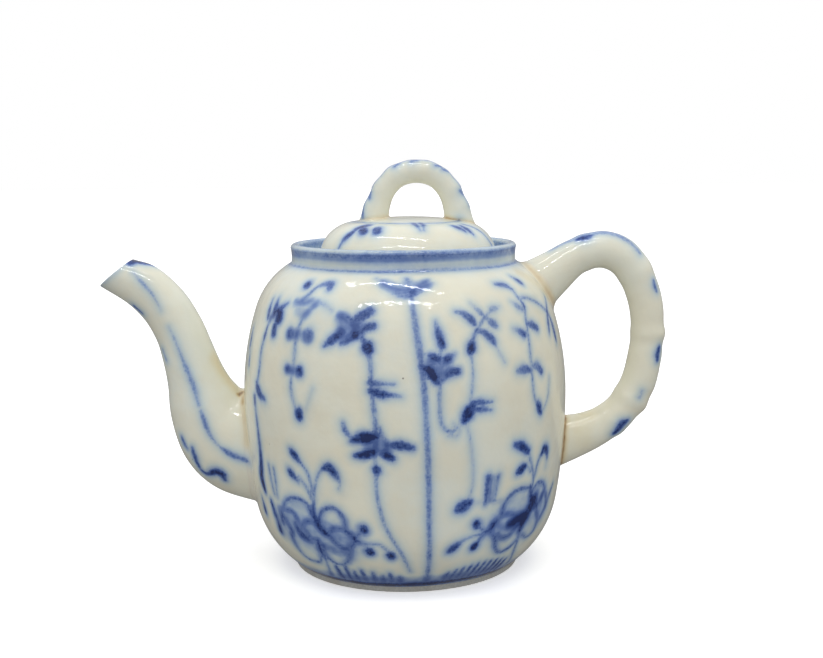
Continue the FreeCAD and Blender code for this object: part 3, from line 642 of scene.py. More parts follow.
def paint_left_flower(b):
    """The big open flower low on the left: outlined petals, buds and a berry twig."""
    petals = [
        ([(-42, 25.4), (-40.2, 27.8), (-37, 29.3), (-33.4, 29.4), (-30.8, 28.2), (-29.8, 25.4),
          (-28.1, 22.6)], 0.42),
        ([(-43.2, 24.7), (-38.4, 25), (-35.6, 22.6), (-34.6, 20.2)], 0.36),
        ([(-43.6, 24.6), (-43, 22.6), (-41, 20.4), (-39.6, 18.2), (-40.4, 16.6)], 0.6),
        ([(-34, 21.8), (-31.6, 23), (-29.2, 23.1), (-27.8, 21.4)], 0.5),
        ([(-34, 21.6), (-33, 19.4), (-31.3, 17.7), (-28.8, 17.3)], 0.34),
        ([(-40.6, 17.2), (-40.1, 13.4), (-38.2, 10.2), (-34.9, 9.1), (-31.2, 9.7),
          (-29.2, 12.4)], 0.38),
        ([(-26.9, 23), (-26.8, 25.2), (-25.4, 27.3), (-22.8, 28.4), (-20.4, 27.8),
          (-18.6, 25.4), (-18.1, 22.4)], 0.58),
        ([(-24.8, 20.4), (-21.8, 22.1), (-18.9, 21.9), (-16.3, 20.2), (-15.8, 18.4),
          (-17.8, 16.5), (-20, 16.3), (-22.4, 17.7), (-24.4, 20)], 0.42),
        ([(-27.6, 16.4), (-27.2, 12.8), (-25.4, 10.5), (-22.8, 9.8), (-19.9, 11.1),
          (-17.6, 14), (-17.1, 16.8)], 0.38),
    ]
    for points, half in petals:
        b.line(points, half + 0.12, 0.6)
    b.wash([(-40, 20), (-31, 19), (-20, 18)], 7.0, 0.26)
    b.touches(([(-41, 22.6), (-38, 22)], 1.8, 0.36), ([(-37, 27), (-32, 26.6)], 1.4, 0.24),
              ([(-31.6, 20.4), (-29.4, 20)], 1.3, 0.4), ([(-25, 23.4), (-22.6, 22.4)], 1.3, 0.42),
              ([(-22.6, 20), (-18.4, 18.6)], 1.7, 0.5),
              ([(-25.8, 15.8), (-22, 14.4), (-19.2, 15)], 1.6, 0.62))
    b.stroke([(-37, 20.6), (-35.8, 18.8), (-34, 17.4), (-31.8, 16.6)], [0.8, 1.2, 1.2, 0.7],
             [0.6, 0.72, 0.7, 0.5])
    b.stroke([(-28.8, 28), (-28.8, 25.4), (-27.8, 22.8), (-26, 20.6), (-24.2, 19.6)],
             [0.8, 1.0, 1.2, 1.1, 0.7], [0.6, 0.76, 0.92, 0.9, 0.8])
    b.stroke([(-28.8, 17.4), (-28.9, 14.2), (-28.2, 11)], [0.7, 0.9, 0.6], [0.66, 0.74, 0.6])
    b.line([(-28.2, 11), (-29, 7.4), (-30.6, 4)], 0.4, 0.5)
    b.line([(-28.6, 24.4), (-29, 27.4), (-28.4, 31.4), (-28.8, 35), (-29.8, 38), (-31.8, 40.8)],
           0.5, 0.46)
    b.leaf((-31.4, 40.2), (-36, 44.2), 1.05, 0.74)
    b.line([(-28.6, 28.4), (-29.8, 32.2), (-31.4, 34.6), (-33.4, 36.4)], 0.48, 0.46)
    b.leaf((-33.6, 34.8), (-37.4, 38), 1.1, 0.7)
    b.line([(-28.2, 28.6), (-27.8, 32.6), (-26.7, 36.6), (-25.2, 39.2), (-23.4, 40.6)], 0.45, 0.44)
    b.stroke([(-24.2, 40), (-22.4, 40.6), (-20.6, 39), (-19.2, 36.8)], [0.7, 1.3, 1.2, 0.6],
             [0.7, 0.78, 0.8, 0.6])
    b.line([(-19.2, 37), (-19, 36), (-19.4, 34.4)], 0.32, 0.3)
    b.stroke([(-19, 22), (-16.4, 20.5), (-15.2, 18.9), (-11.8, 18.2), (-7.8, 18), (-5, 15.8)],
             [0.5, 0.8, 0.7, 0.4, 0.4, 0.4], [0.6, 0.8, 0.7, 0.5, 0.46, 0.5])
    b.line([(-15.8, 19.4), (-14, 21.2), (-12.6, 22.4)], 0.45, 0.6)
    b.line([(-12.6, 18.2), (-11.6, 17), (-11.2, 15.6)], 0.4, 0.4)
    for at in ((-12.4, 22.6), (-11.1, 15.6), (-4.6, 14.5)):
        b.dab(at, 1.3, 0.95, 0.2)


def paint_right_flower(b):
    """The flower low on the right, seen half from the side."""
    petals = [
        ([(31, 24), (31.7, 27.5), (34.3, 30.2), (38.2, 31.2), (42.6, 30.6)], 0.6),
        ([(31, 24), (33.4, 24.3), (36.6, 23.5), (39.8, 23.6)], 0.4),
        ([(27.2, 19.8), (29.6, 17.4), (30.6, 14.4), (32.4, 12.4), (35.2, 11.8), (38.2, 12.8),
          (40.2, 14.6)], 0.55),
        ([(30.4, 18.4), (32.4, 17), (35.6, 17.2), (38.8, 19.8)], 0.45),
        ([(43.6, 29), (46.2, 31.2), (49.8, 30.6), (51.6, 28.4), (50.4, 26.4), (48.4, 24.6),
          (48, 22.6), (49.7, 19.8)], 0.48),
        ([(58.8, 28.2), (56, 25), (54.2, 22), (51.4, 19.2)], 0.34),
        ([(51.8, 27.6), (54, 25), (54.6, 22)], 0.36),
        ([(50.2, 19), (49.4, 15.4), (46, 14.2), (42.4, 15.8)], 0.36),
    ]
    for points, half in petals:
        b.line(points, half + 0.12, 0.62)
    b.wash([(32, 21), (40, 22), (50, 23)], 6.5, 0.28)
    b.touches(([(34.4, 27), (39.6, 27.4)], 1.6, 0.26), ([(31, 21), (34, 20)], 1.8, 0.5),
              ([(35, 20.6), (40.6, 21.6)], 2.2, 0.85), ([(45.6, 24), (47, 28)], 1.9, 0.5),
              ([(50, 27), (50.6, 22)], 1.6, 0.42))
    b.stroke([(42.6, 31), (43.4, 28.4), (44.4, 25.6), (42.8, 22.6), (40.8, 20), (40.4, 17.6)],
             [0.8, 1.0, 1.5, 1.7, 1.4, 0.8], [0.7, 0.8, 0.9, 0.95, 0.9, 0.8])
    b.stroke([(34.6, 21), (37.6, 21.8), (40.6, 22.6)], [0.8, 1.5, 1.4], [0.6, 0.72, 0.85])
    b.stroke([(45.6, 27), (47.2, 24)], [1.2, 1.2], [0.7, 0.7])
    b.stroke([(27, 20.4), (28.2, 22), (29.6, 23.2)], [0.9, 1.0, 0.7], [0.8, 0.85, 0.7])
    b.line([(40.6, 17.8), (40.9, 14.4), (41.8, 10.4), (44.4, 5.8)], 0.5, 0.56)
    b.line([(43.6, 30.8), (43.8, 33.6), (42.8, 36.6), (41.4, 39.6), (40.4, 42)], 0.5, 0.5)
    b.stroke([(34.6, 45.2), (37, 44.4), (40, 42.4)], [0.9, 1.4, 1.1], [0.72, 0.86, 0.9])
    b.stroke([(36.2, 36.6), (37.8, 37.4), (39.4, 38)], [1.0, 1.4, 0.8], [0.7, 0.92, 0.8])
    b.line([(39.4, 38), (40.8, 37), (42, 35.8)], 0.34, 0.4)
    b.line([(43.8, 31.6), (44.6, 35), (46, 39), (48, 41.4)], 0.48, 0.46)
    b.stroke([(47.2, 40), (48.6, 41.6), (50.4, 40.6), (51, 38)], [0.7, 1.2, 1.2, 0.6],
             [0.7, 0.82, 0.8, 0.6])
    b.line([(51, 38), (50.6, 35.6)], 0.3, 0.2)
    b.line([(28.4, 20.8), (25.6, 20), (23.2, 22)], 0.6, 0.66)
    b.dab((22.2, 22.9), 1.35, 0.86, 0.2)
    b.line([(26, 20), (24.2, 18.6), (22.8, 16.6)], 0.6, 0.66)
    b.leaf((23.4, 17.4), (21.8, 15.2), 1.15, 0.9)
    b.line([(24.6, 19.6), (21.2, 19.3), (17.6, 18.2)], 0.36, 0.42)
    b.leaf((17.8, 18.4), (13.6, 15), 1.15, 0.82)


def paint_grass(b):
    """Short strokes that stand on the base line, and a few stray specks."""
    for number in range(8):
        at = -25.0 + 3.3 * number
        tall = 4.6 - 0.25 * number + 0.7 * math.sin(2.3 * number)
        b.leaf((at, 2.6), (at + 0.5 * math.sin(1.7 * number), 4.4 + tall), 0.75,
               0.8 - 0.05 * number)
    for number in range(10):
        at = 13.6 + 2.7 * number
        tall = 3.0 + 2.6 * math.sin(math.pi * (number + 1.0) / 12.0)
        b.leaf((at, 2.6), (at + 1.8, 3.8 + tall), 0.7, 0.56 + 0.03 * number)


def paint_side(shift):
    """One whole side of the pot; the same hand painted the front and the back."""
    brush = Brush(on_pot(shift))
    for part in (paint_middle, paint_upright_sprig, paint_cross_flower, paint_right_vine,
                 paint_left_vine, paint_left_edge, paint_leaf_cluster, paint_left_flower,
                 paint_right_flower, paint_grass):
        part(brush)
    return brush.strokes


def paint_bands():
    """The blue lines round the base, the foot of the neck and the rim."""
    low = Brush(on_pot())
    turn = ARC_SCALE * math.pi / 180
    full_turn(low, BASE + 1.0, 1.3, 1.06, unit=turn)
    full_turn(low, BASE + 3.0, 1.8, 0.34, "wash", unit=turn)
    neck = Brush(on_ring(NECK_RADIUS + 0.2))
    full_turn(neck, NECK + 0.1, 0.5, 0.5)
    rim = Brush(on_ring(NECK_RADIUS))
    full_turn(rim, RIM - 1.7, 1.2, 0.4)
    full_turn(rim, RIM - 2.8, 1.2, 0.26, "wash")
    lip = Brush(on_ring((NECK_RADIUS + MOUTH) / 2))
    full_turn(lip, RIM, 1.0, 0.24)
    inner = Brush(on_ring(MOUTH))
    full_turn(inner, RIM - 1.8, 1.3, 0.34)
    return low.strokes + neck.strokes + rim.strokes + lip.strokes + inner.strokes


# ---------------------------------------------------------------- painting on the rest

def facing(side, points):
    """Points on a bar as they are for side 1, and moved to its far side for side -1."""
    return [(place, degrees if side > 0 else 360 - degrees) for place, degrees in points]


def paint_spout():
    b = Brush(on_bar(SPOUT_BAR))
    b.stroke([(8.5, 300), (8, 287), (7.4, 279), (6.9, 269)], [0.35, 0.6, 0.5, 0.35],
             [0.24, 0.32, 0.3, 0.18])
    b.stroke([(6.25, 264), (5.6, 264), (4.9, 266), (4.2, 270), (3.5, 273), (3, 272)],
             [0.4, 0.6, 0.7, 0.8, 0.75, 0.5], [0.2, 0.26, 0.32, 0.42, 0.42, 0.32])
    b.stroke([(2.8, 272), (2.5, 271), (2, 268.5), (1.5, 266)], [0.5, 0.75, 0.7, 0.4],
             [0.42, 0.48, 0.4, 0.3])
    b.stroke([(1.4, 265.5), (1, 264), (0.7, 263), (0.4, 262)], [0.4, 0.85, 0.8, 0.5],
             [0.4, 0.56, 0.56, 0.5])
    b.stroke([(8.9, -34), (8.8, 0), (8.9, 34)], [1.1, 1.8, 1.1], 0.95)
    b.stroke([(8.9, 0), (8.55, 0), (8.2, 0)], [2.6, 2.4, 0.9], 0.85)
    b.stroke([(8.96, degrees) for degrees in range(30, 331, 20)], 0.42, 0.2)
    for side in (1, -1):
        for points, half, tone in [
                ([(2.5, 221), (2.35, 221), (2.2, 223)], (0.5, 0.8, 0.4), 0.6),
                ([(2.12, 234), (1.9, 228), (1.66, 221)], (0.5, 0.9, 0.6), 0.7),
                ([(1.55, 219), (1.38, 221), (1.2, 234), (1.02, 236), (0.9, 230)],
                 (0.5, 0.6, 1.2, 1.3, 0.6), 0.92),
                ([(7.7, 216), (7.3, 219)], (0.7, 0.6), 0.5),
                ([(5.4, 218), (4.9, 222)], (0.6, 0.6), 0.3)]:
            b.stroke(facing(side, points), half, tone)
    b.stroke(facing(-1, [(8.5, 300), (8, 287), (7.4, 279), (6.6, 266), (5.6, 264), (4.2, 270),
                         (3, 272), (2, 268), (1, 264), (0.4, 262)]), 0.6, 0.36)
    return b.strokes


def paint_handle():
    b = Brush(on_bar(HANDLE_BAR))
    for side in (1, -1):
        for points, half, tone in [
                ([(2.2, 208), (2.45, 213), (2.65, 209)], (0.7, 1.2, 0.6), 0.8),
                ([(1.3, 192), (2.1, 194), (3.0, 196), (3.7, 206), (4.4, 218)],
                 (0.8, 1.2, 1.7, 1.4, 1.0), 0.3),
                ([(5.4, 224), (5.55, 228), (5.7, 227)], (0.5, 0.8, 0.5), 0.55),
                ([(7.55, 228), (7.75, 234), (7.95, 229)], (0.6, 0.9, 0.6), 0.8),
                ([(9.0, 258), (9.2, 256)], (0.9, 0.9), 0.2),
                ([(9.95, 238), (10.15, 243), (10.45, 232)], (0.5, 1.2, 0.7), 0.98)]:
            b.stroke(facing(side, points), half, tone)
    return b.strokes


def paint_lid():
    b = Brush(on_lid)
    circle = [(degrees, 16.6 + 0.3 * math.sin(math.radians(3 * degrees)))
              for degrees in range(-180, 181, 8)]
    b.stroke(circle, THINNEST, 0.46)
    for turn in (0, 180):
        def at(*pairs):
            return [(degrees + turn, r) for degrees, r in pairs]
        b.stroke(at((-46, 21.6), (-41, 19.8), (-36, 18.8)), [0.8, 1.3, 0.6], [0.8, 0.9, 0.7])
        b.stroke(at((-38, 21.8), (-35, 22.8)), 1.35, 0.86)
        b.stroke(at((-25, 21.4), (-23.5, 22.6)), 1.35, 0.82)
        b.stroke(at((-44, 21.6), (-48, 24.4), (-50, 26), (-51, 27.4)), [0.5, 1.2, 0.5, 0.35],
                 [0.7, 0.86, 0.6, 0.5])
        b.stroke(at((6, 16.4), (8, 18.6), (10, 22.2)), [1.0, 0.8, 0.3], [0.74, 0.6, 0.36])
        b.stroke(at((13.5, 16.6), (14, 18.6), (12.5, 22.2)), [1.0, 0.8, 0.3], [0.74, 0.6, 0.36])
        b.stroke(at((42, 20.4), (45, 21.4), (48, 23)), [0.7, 1.1, 0.7], [0.66, 0.8, 0.6])
        b.stroke(at((51, 20.6), (53, 22.6), (54, 24.2)), [0.7, 1.0, 0.5], [0.66, 0.78, 0.5])
        b.stroke(at((58, 19.8), (64, 21.6), (69, 24), (73, 27)), [0.5, 0.45, 0.35, 0.3], 0.5)
    ring = Brush(on_ring(FLANGE, LID_X))
    full_turn(ring, NECK + FLANGE_THICK, 0.3, 0.28)
    return b.strokes + ring.strokes


def paint_loop():
    b = Brush(on_bar(LOOP_BAR))
    for sign in (1, -1):
        b.stroke([(0.5, 205), (1.2, 196), (2, 190), (3, 188), (4, 188), (5, 190), (6, 194),
                  (7.2, 200)], 0.42, [0.34, 0.3, 0.4, 0.46, 0.52, 0.42, 0.34, 0.24])
        for place in (0.45, 1.35, 3.15, 3.9, 4.95, 5.3, 6.55):
            spot = [(place - 0.1, 180 + sign * 34), (place + 0.1, 180 + sign * 22)]
            b.stroke(spot, 0.7, 0.46)
    return b.strokes


def along_join(join, degrees, half, tone):
    """A stain that follows the join of a bar with what it stands on."""
    angles = np.radians(np.arange(degrees[0], degrees[1] + 1, 10))
    line = join[0].point(join_places(join, angles), angles)
    count = len(angles)
    return line, np.full(count, half), np.full(count, tone), "stain"


def stains():
    """Brown and beige that has settled round the luted joins."""
    spout = Brush(on_bar(SPOUT_BAR))
    handle = Brush(on_bar(HANDLE_BAR))
    shoulder = Brush(on_pot())
    spout.stain([(4.4, 342), (3.4, 346), (2.6, 350)], 2.6, 0.3)
    spout.stain([(2.25, 340), (2.05, 350)], 0.8, 1.0)
    handle.stain([(10.9, 330), (11.2, 300), (11.3, 260)], 3.0, 0.16)
    shoulder.stain([(56, 93), (62, 90), (68, 85)], 2.4, 0.24)
    pot = [along_join(SPOUT_ROOT, (-34, 40), 0.9, 0.85),
           along_join(SPOUT_ROOT, (-80, 90), 1.6, 0.3),
           along_join(HANDLE_TOP, (0, 360), 1.4, 0.4),
           along_join(HANDLE_FOOT, (210, 370), 0.8, 0.85),
           along_join(HANDLE_FOOT, (0, 360), 1.4, 0.4)]
    lid = [along_join(LOOP_SPOUT_SIDE, (0, 360), 0.8, 0.4),
           along_join(LOOP_HANDLE_SIDE, (0, 360), 0.8, 0.46),
           along_join(LOOP_HANDLE_SIDE, (270, 330), 0.6, 0.8)]
    return spout.strokes + handle.strokes + shoulder.strokes + pot, lid


# ---------------------------------------------------------------- meshes

def by_hand(points):
    """The slight unevenness of a hand-finished pot."""
    x, y, z = points.T
    angle = np.arctan2(y, x)
    grow = 0.0022 * np.sin(2 * angle + 0.6 + z / 60) + 0.0012 * np.sin(3 * angle + z / 23)
    grow *= np.clip(np.hypot(x, y) / 20, 0, 1)
    return np.stack([x * (1 + grow), y * (1 + grow), z], 1)


def grid_faces(rows, columns, flip=False, closed=False):
    """Quads between rings of vertices; closed also joins the last ring to the first."""
    row = np.arange(rows if closed else rows - 1)[:, None] * columns
    after = (row + columns) % (rows * columns)
    column = np.arange(columns)[None, :]
    ahead = (column + 1) % columns
    quads = np.stack([row + column, row + ahead, after + ahead, after + column], -1)
    quads = quads.reshape(-1, 4)
    return quads[:, ::-1] if flip else quads


def fan_faces(centre, ring_start, columns, flip=False):
    column = np.arange(columns)
    ahead = (column + 1) % columns
    triangles = np.stack([np.full(columns, centre), ring_start + column, ring_start + ahead], -1)
    return triangles[:, ::-1] if flip else triangles


def mesh_object(name, points, faces):
    """An object whose mesh holds these points, given in millimetres."""
    mesh = bpy.data.meshes.new(name)
    mesh.from_pydata((np.asarray(points) * MM).tolist(), [],
                     [list(map(int, face)) for group in faces for face in group])
    mesh.validate()
    mesh.update()
    thing = bpy.data.objects.new(name, mesh)
    bpy.context.scene.collection.objects.link(thing)
    return thing


ON_AXIS = 1e-6      # millimetres; an outline point nearer the axis than this is a pole


def lathe(name, outline, columns, axis_x=0.0):
    """A closed turned mesh from an outline (radius, height) that runs from the axis or a
    point back to itself, with the outside on its right-hand side."""
    rows = [row for row in outline if row[0] > ON_AXIS]
    poles = [(axis_x, 0.0, z) for r, z in outline if r <= ON_AXIS]
    angles = around(columns)
    points = np.vstack([np.stack([axis_x + r * np.sin(angles), -r * np.cos(angles),
                                  np.full(columns, z)], 1) for r, z in rows])
    faces = [grid_faces(len(rows), columns, closed=not poles)]
    if poles:
        first = len(points)
        points = np.vstack([points, poles])
        faces.append(fan_faces(first, 0, columns, flip=True))
        faces.append(fan_faces(first + 1, first - columns, columns))
    return mesh_object(name, points, faces)


def carve(thing, cutters):
    """Cut other objects out of this one for good."""
    for cutter in cutters:
        modifier = thing.modifiers.new("cut", "BOOLEAN")
        modifier.operation = "DIFFERENCE"
        modifier.solver = "EXACT"
        modifier.object = cutter
    depsgraph = bpy.context.evaluated_depsgraph_get()
    mesh = bpy.data.meshes.new_from_object(thing.evaluated_get(depsgraph))
    thing.modifiers.clear()
    thing.data = mesh
    for cutter in cutters:
        bpy.data.objects.remove(cutter)


def round_bar(name, bar, start, end, angles, rows, bore=None):
    """A bar from one ring of places to another, closed at both ends. With a bore (wall,
    places where the inside starts, and reach of the lip) it is a tube with a rounded lip."""
    columns = len(angles)
    share = np.linspace(0, 1, rows)[:, None]
    start = np.broadcast_to(start, columns)
    end = np.broadcast_to(end, columns)
    places = start + (end - start) * share
    outer = bar.point(places, angles[None, :])
    if bore is None:
        rings = outer.reshape(-1, 3)
        caps = np.stack([outer[0].mean(0), outer[-1].mean(0)])
        points = np.vstack([rings, caps])
        count = len(rings)
        faces = [grid_faces(rows, columns), fan_faces(count, 0, columns, flip=True),
                 fan_faces(count + 1, (rows - 1) * columns, columns)]
        return mesh_object(name, points, faces)
    wall, inner_start, lip = bore
    lip_rings = []
    for turn in np.linspace(0, math.pi, 13)[1:-1]:
        across = math.copysign(abs(math.cos(turn)) ** 0.5, math.cos(turn))
        lip_rings.append(bar.point(end + lip * math.sin(turn) ** 0.5, angles,
                                   -wall / 2 * (1 - across)))
    inner = bar.point((end + (inner_start - end) * share), angles[None, :], -wall)
    rings = np.vstack([outer.reshape(-1, 3)] + lip_rings + [inner.reshape(-1, 3)])
    return mesh_object(name, rings, [grid_faces(len(rings) // columns, columns, closed=True)])


def seam_ring(name, join, run, columns=128, steps=9):
    """The slip that fills the corner between a bar and what it stands on: a closed ring
    whose outer face is a hollow curve from one surface to the other."""
    bar, base, start, towards = join
    angles = around(columns)
    places = join_places(join, angles)
    step = 0.02 if towards > start else -0.02
    corner = bar.point(places, angles)
    normal = base.measure(corner)[1]
    ahead = bar.point(places + step, angles)
    stride = np.linalg.norm(ahead - corner, axis=1)
    outward = bar.point(places, angles, 1.0) - corner
    outward -= (outward * normal).sum(1)[:, None] * normal
    outward /= np.linalg.norm(outward, axis=1)[:, None]
    uneven = run * (1 + 0.12 * np.sin(3 * angles + 1) + 0.08 * np.sin(7 * angles))
    on_base = corner + outward * uneven[:, None]
    gap, base_normal = base.measure(on_base)
    on_base -= base_normal * (gap + 0.12)[:, None]
    on_side = bar.point(places + step * uneven / stride, angles, -0.12)
    inside = corner - normal * 1.1 - outward * 1.1
    rings = []
    for share in np.linspace(0, 1, steps):
        rings.append((1 - share) ** 2 * on_base + 2 * share * (1 - share) * corner
                     + share ** 2 * on_side)
    rings.append(inside)
    return mesh_object(name, np.vstack(rings),
                       [grid_faces(len(rings), columns, flip=towards < start, closed=True)])


# ---------------------------------------------------------------- materials

class Nodes:
    """Short names for building one material's nodes."""

    def __init__(self, name):
        self.material = bpy.data.materials.new(name)
        self.material.use_nodes = True
        self.tree = self.material.node_tree
        self.tree.nodes.clear()
        self.out = self.tree.nodes.new("ShaderNodeOutputMaterial")
        self.shader = self.tree.nodes.new("ShaderNodeBsdfPrincipled")
        self.tree.links.new(self.shader.outputs[0], self.out.inputs["Surface"])
        self.place = self.tree.nodes.new("ShaderNodeTexCoord").outputs["Object"]

    def put(self, socket, value):
        if isinstance(value, bpy.types.NodeSocket):
            self.tree.links.new(value, socket)
        else:
            socket.default_value = value

    def attribute(self, name):
        node = self.tree.nodes.new("ShaderNodeAttribute")
        node.attribute_name = name
        return node.outputs["Fac"]

    def noise(self, scale, detail=2.0, rough=0.5):
        node = self.tree.nodes.new("ShaderNodeTexNoise")
        node.inputs["Scale"].default_value = scale
        node.inputs["Detail"].default_value = detail
        node.inputs["Roughness"].default_value = rough
        self.put(node.inputs["Vector"], self.place)
        return node.outputs["Fac"]

    def math(self, operation, a, b=0.0, c=0.0):
        node = self.tree.nodes.new("ShaderNodeMath")
        node.operation = operation
        for socket, value in zip(node.inputs, (a, b, c)):
            self.put(socket, value)
        return node.outputs[0]

    def times(self, a, b):
        return self.math("MULTIPLY", a, b)

    def plus(self, a, b):
        return self.math("ADD", a, b)

    def ramp(self, value, low, high, to_low=0.0, to_high=1.0, soft=True):
        node = self.tree.nodes.new("ShaderNodeMapRange")
        node.interpolation_type = "SMOOTHSTEP" if soft else "LINEAR"
        for socket, number in zip(node.inputs, (value, low, high, to_low, to_high)):
            self.put(socket, number)
        return node.outputs[0]

    def colours(self, value, stops):
        node = self.tree.nodes.new("ShaderNodeValToRGB")
        ramp = node.color_ramp
        ramp.interpolation = "LINEAR"
        while len(ramp.elements) < len(stops):
            ramp.elements.new(0.5)
        for element, (at, colour) in zip(ramp.elements, stops):
            element.position = at
            element.color = colour + (1.0,)
        self.put(node.inputs[0], value)
        return node.outputs[0]

    def mix(self, share, a, b, blend="MIX"):
        node = self.tree.nodes.new("ShaderNodeMix")
        node.data_type = "RGBA"
        node.blend_type = blend
        sockets = [s for s in node.inputs if s.enabled]
        for socket, value in zip(sockets, (share, a, b)):
            if isinstance(value, tuple):
                value = value + (1.0,)
            self.put(socket, value)
        return [s for s in node.outputs if s.enabled][0]

    def specks(self, scale, size, chance):
        """1 at rare small dots, 0 elsewhere."""
        node = self.tree.nodes.new("ShaderNodeTexVoronoi")
        node.inputs["Scale"].default_value = scale
        self.put(node.inputs["Vector"], self.place)
        dot = self.ramp(node.outputs["Distance"], size * 0.5, size, 1.0, 0.0)
        split = self.tree.nodes.new("ShaderNodeSeparateColor")
        self.put(split.inputs[0], node.outputs["Color"])
        chosen = self.math("GREATER_THAN", split.outputs[0], 1 - chance)
        return self.times(dot, chosen)

    def bump(self, height, distance, strength=1.0, before=None):
        node = self.tree.nodes.new("ShaderNodeBump")
        node.inputs["Distance"].default_value = distance
        node.inputs["Strength"].default_value = strength
        self.put(node.inputs["Height"], height)
        if before is not None:
            self.put(node.inputs["Normal"], before)
        return node.outputs[0]


# What the paint and the stains multiply the clay's colour by, from none to the most.
COBALT = [(0.0, (1.0, 1.0, 1.0)), (0.1, (0.76, 0.86, 1.0)), (0.24, (0.42, 0.56, 0.92)),
          (0.42, (0.19, 0.3, 0.73)), (0.6, (0.09, 0.17, 0.55)), (0.8, (0.036, 0.09, 0.39)),
          (0.95, (0.012, 0.042, 0.25)), (1.0, (0.008, 0.026, 0.17))]
TEA = [(0.0, (1.0, 1.0, 1.0)), (0.3, (0.95, 0.88, 0.74)), (0.62, (0.72, 0.55, 0.36)),
       (1.0, (0.24, 0.15, 0.09))]
SPECK = (0.12, 0.1, 0.08)


def cobalt_colour(n):
    """Dense and mottled inside a stroke, soft at its edge, and a pale blue halo outside it
    where cobalt ran into the glaze."""
    coarse = n.ramp(n.noise(430.0, 2.0), 0.0, 1.0, -0.25, 0.25, soft=False)
    fine = n.ramp(n.noise(1900.0, 1.0), 0.0, 1.0, -0.15, 0.15, soft=False)
    edge = n.plus(n.math("SUBTRACT", n.attribute("ink"), REACH), n.plus(coarse, fine))
    tone = n.attribute("tone")
    depth = n.ramp(edge, 0.1, 1.2, 0.9, 1.12)
    mottle = n.ramp(n.noise(1100.0, 3.0, 0.7), 0.3, 0.72, 0.74, 1.16)
    patches = n.ramp(n.noise(240.0, 2.0), 0.3, 0.7, 0.86, 1.1)
    cover = n.ramp(edge, -0.95, 0.75)
    pigment = n.times(n.times(n.times(tone, depth), n.times(mottle, patches)), cover)
    near = n.ramp(edge, -2.2, 0.3, 0.0, 1.0, soft=False)
    far = n.ramp(edge, -3.9, 0.0, 0.0, 1.0, soft=False)
    halo = n.times(n.math("POWER", near, 2.0), 0.2)
    veil = n.times(n.math("POWER", far, 1.4), 0.12)
    pale = n.times(n.plus(halo, veil), n.plus(tone, 0.25))
    washed = n.times(n.attribute("wash"), n.ramp(n.noise(420.0, 3.0), 0.25, 0.75, 0.5, 0.72))
    both = n.times(n.math("MINIMUM", pigment, washed), 0.45)
    density = n.plus(n.math("MAXIMUM", pigment, n.plus(pale, washed)), both)
    return n.colours(density, COBALT)


def tea_colour(n, brown):
    """Brown where tea and dirt have crept into the joins."""
    patchy = n.ramp(n.noise(260.0, 3.0, 0.6), 0.25, 0.75, 0.75, 1.15)
    return n.colours(n.times(n.times(n.attribute("stain"), patchy), brown), TEA)


def glazed(name, warm, cool, painted=True, brown=1.0):
    """Clear-glazed porcelain, with cobalt under the glaze where strokes were laid."""
    n = Nodes(name)
    drift = n.ramp(n.noise(22.0, 2.0), 0.35, 0.65)
    cloud = n.ramp(n.noise(75.0, 4.0, 0.6), 0.35, 0.68, 0.0, 0.7)
    body = n.mix(drift, warm, cool)
    body = n.mix(cloud, body, (0.95 * warm[0], 0.925 * warm[1], 0.9 * warm[2]))
    if painted:
        body = n.mix(1.0, body, cobalt_colour(n), "MULTIPLY")
    body = n.mix(1.0, body, tea_colour(n, brown), "MULTIPLY")
    body = n.mix(n.times(n.specks(150.0, 0.05, 0.1), 0.8), body, SPECK)
    waves = n.bump(n.noise(60.0, 1.5), 0.0011, 0.55)
    peel = n.bump(n.noise(330.0, 2.0), 0.00016, 0.7, waves)
    pits = n.bump(n.specks(900.0, 0.16, 0.02), -0.00008, 0.6, peel)
    for socket, value in (("Base Color", body), ("Normal", pits), ("IOR", 1.45),
                          ("Roughness", n.ramp(n.noise(170.0, 3.0), 0.3, 0.7, 0.035, 0.09)),
                          ("Subsurface Weight", 0.12), ("Subsurface Scale", 0.0015),
                          ("Subsurface Radius", (0.9, 0.8, 0.6))):
        n.put(n.shader.inputs[socket], value)
    return n.material


def bare_foot():
    """Unglazed, ground porcelain: matt, with dust in its pores, and painted dark grey
    for the shade under the pot.
    """
    n = Nodes("bare_foot")
    grit = n.ramp(n.noise(1600.0, 4.0, 0.7), 0.3, 0.7)
    # These two greys are painted shade under the pot; the grit that mixes them is the porcelain's
    # own.
    body = n.mix(grit, (0.46, 0.46, 0.43), (0.34, 0.34, 0.32))
    body = n.mix(n.ramp(n.noise(120.0, 3.0), 0.45, 0.75, 0.0, 0.6), body, (0.3, 0.26, 0.21))
    n.put(n.shader.inputs["Base Color"], body)
    n.put(n.shader.inputs["Roughness"], n.ramp(grit, 0.0, 1.0, 0.55, 0.8))
    n.put(n.shader.inputs["Normal"], n.bump(n.noise(2600.0, 3.0), 0.00006, 0.6))
    return n.material


WARM = (0.86, 0.845, 0.70)
COOL = (0.80, 0.825, 0.735)
PAINTED = glazed("painted_porcelain", WARM, COOL)
PLAIN = glazed("plain_porcelain", (0.84, 0.83, 0.74), (0.8, 0.82, 0.77), painted=False)
SLIP = glazed("stained_slip", (0.84, 0.81, 0.68), (0.8, 0.8, 0.71), brown=1.25)
BARE_FOOT_SHADED = bare_foot()


# ---------------------------------------------------------------- pieces

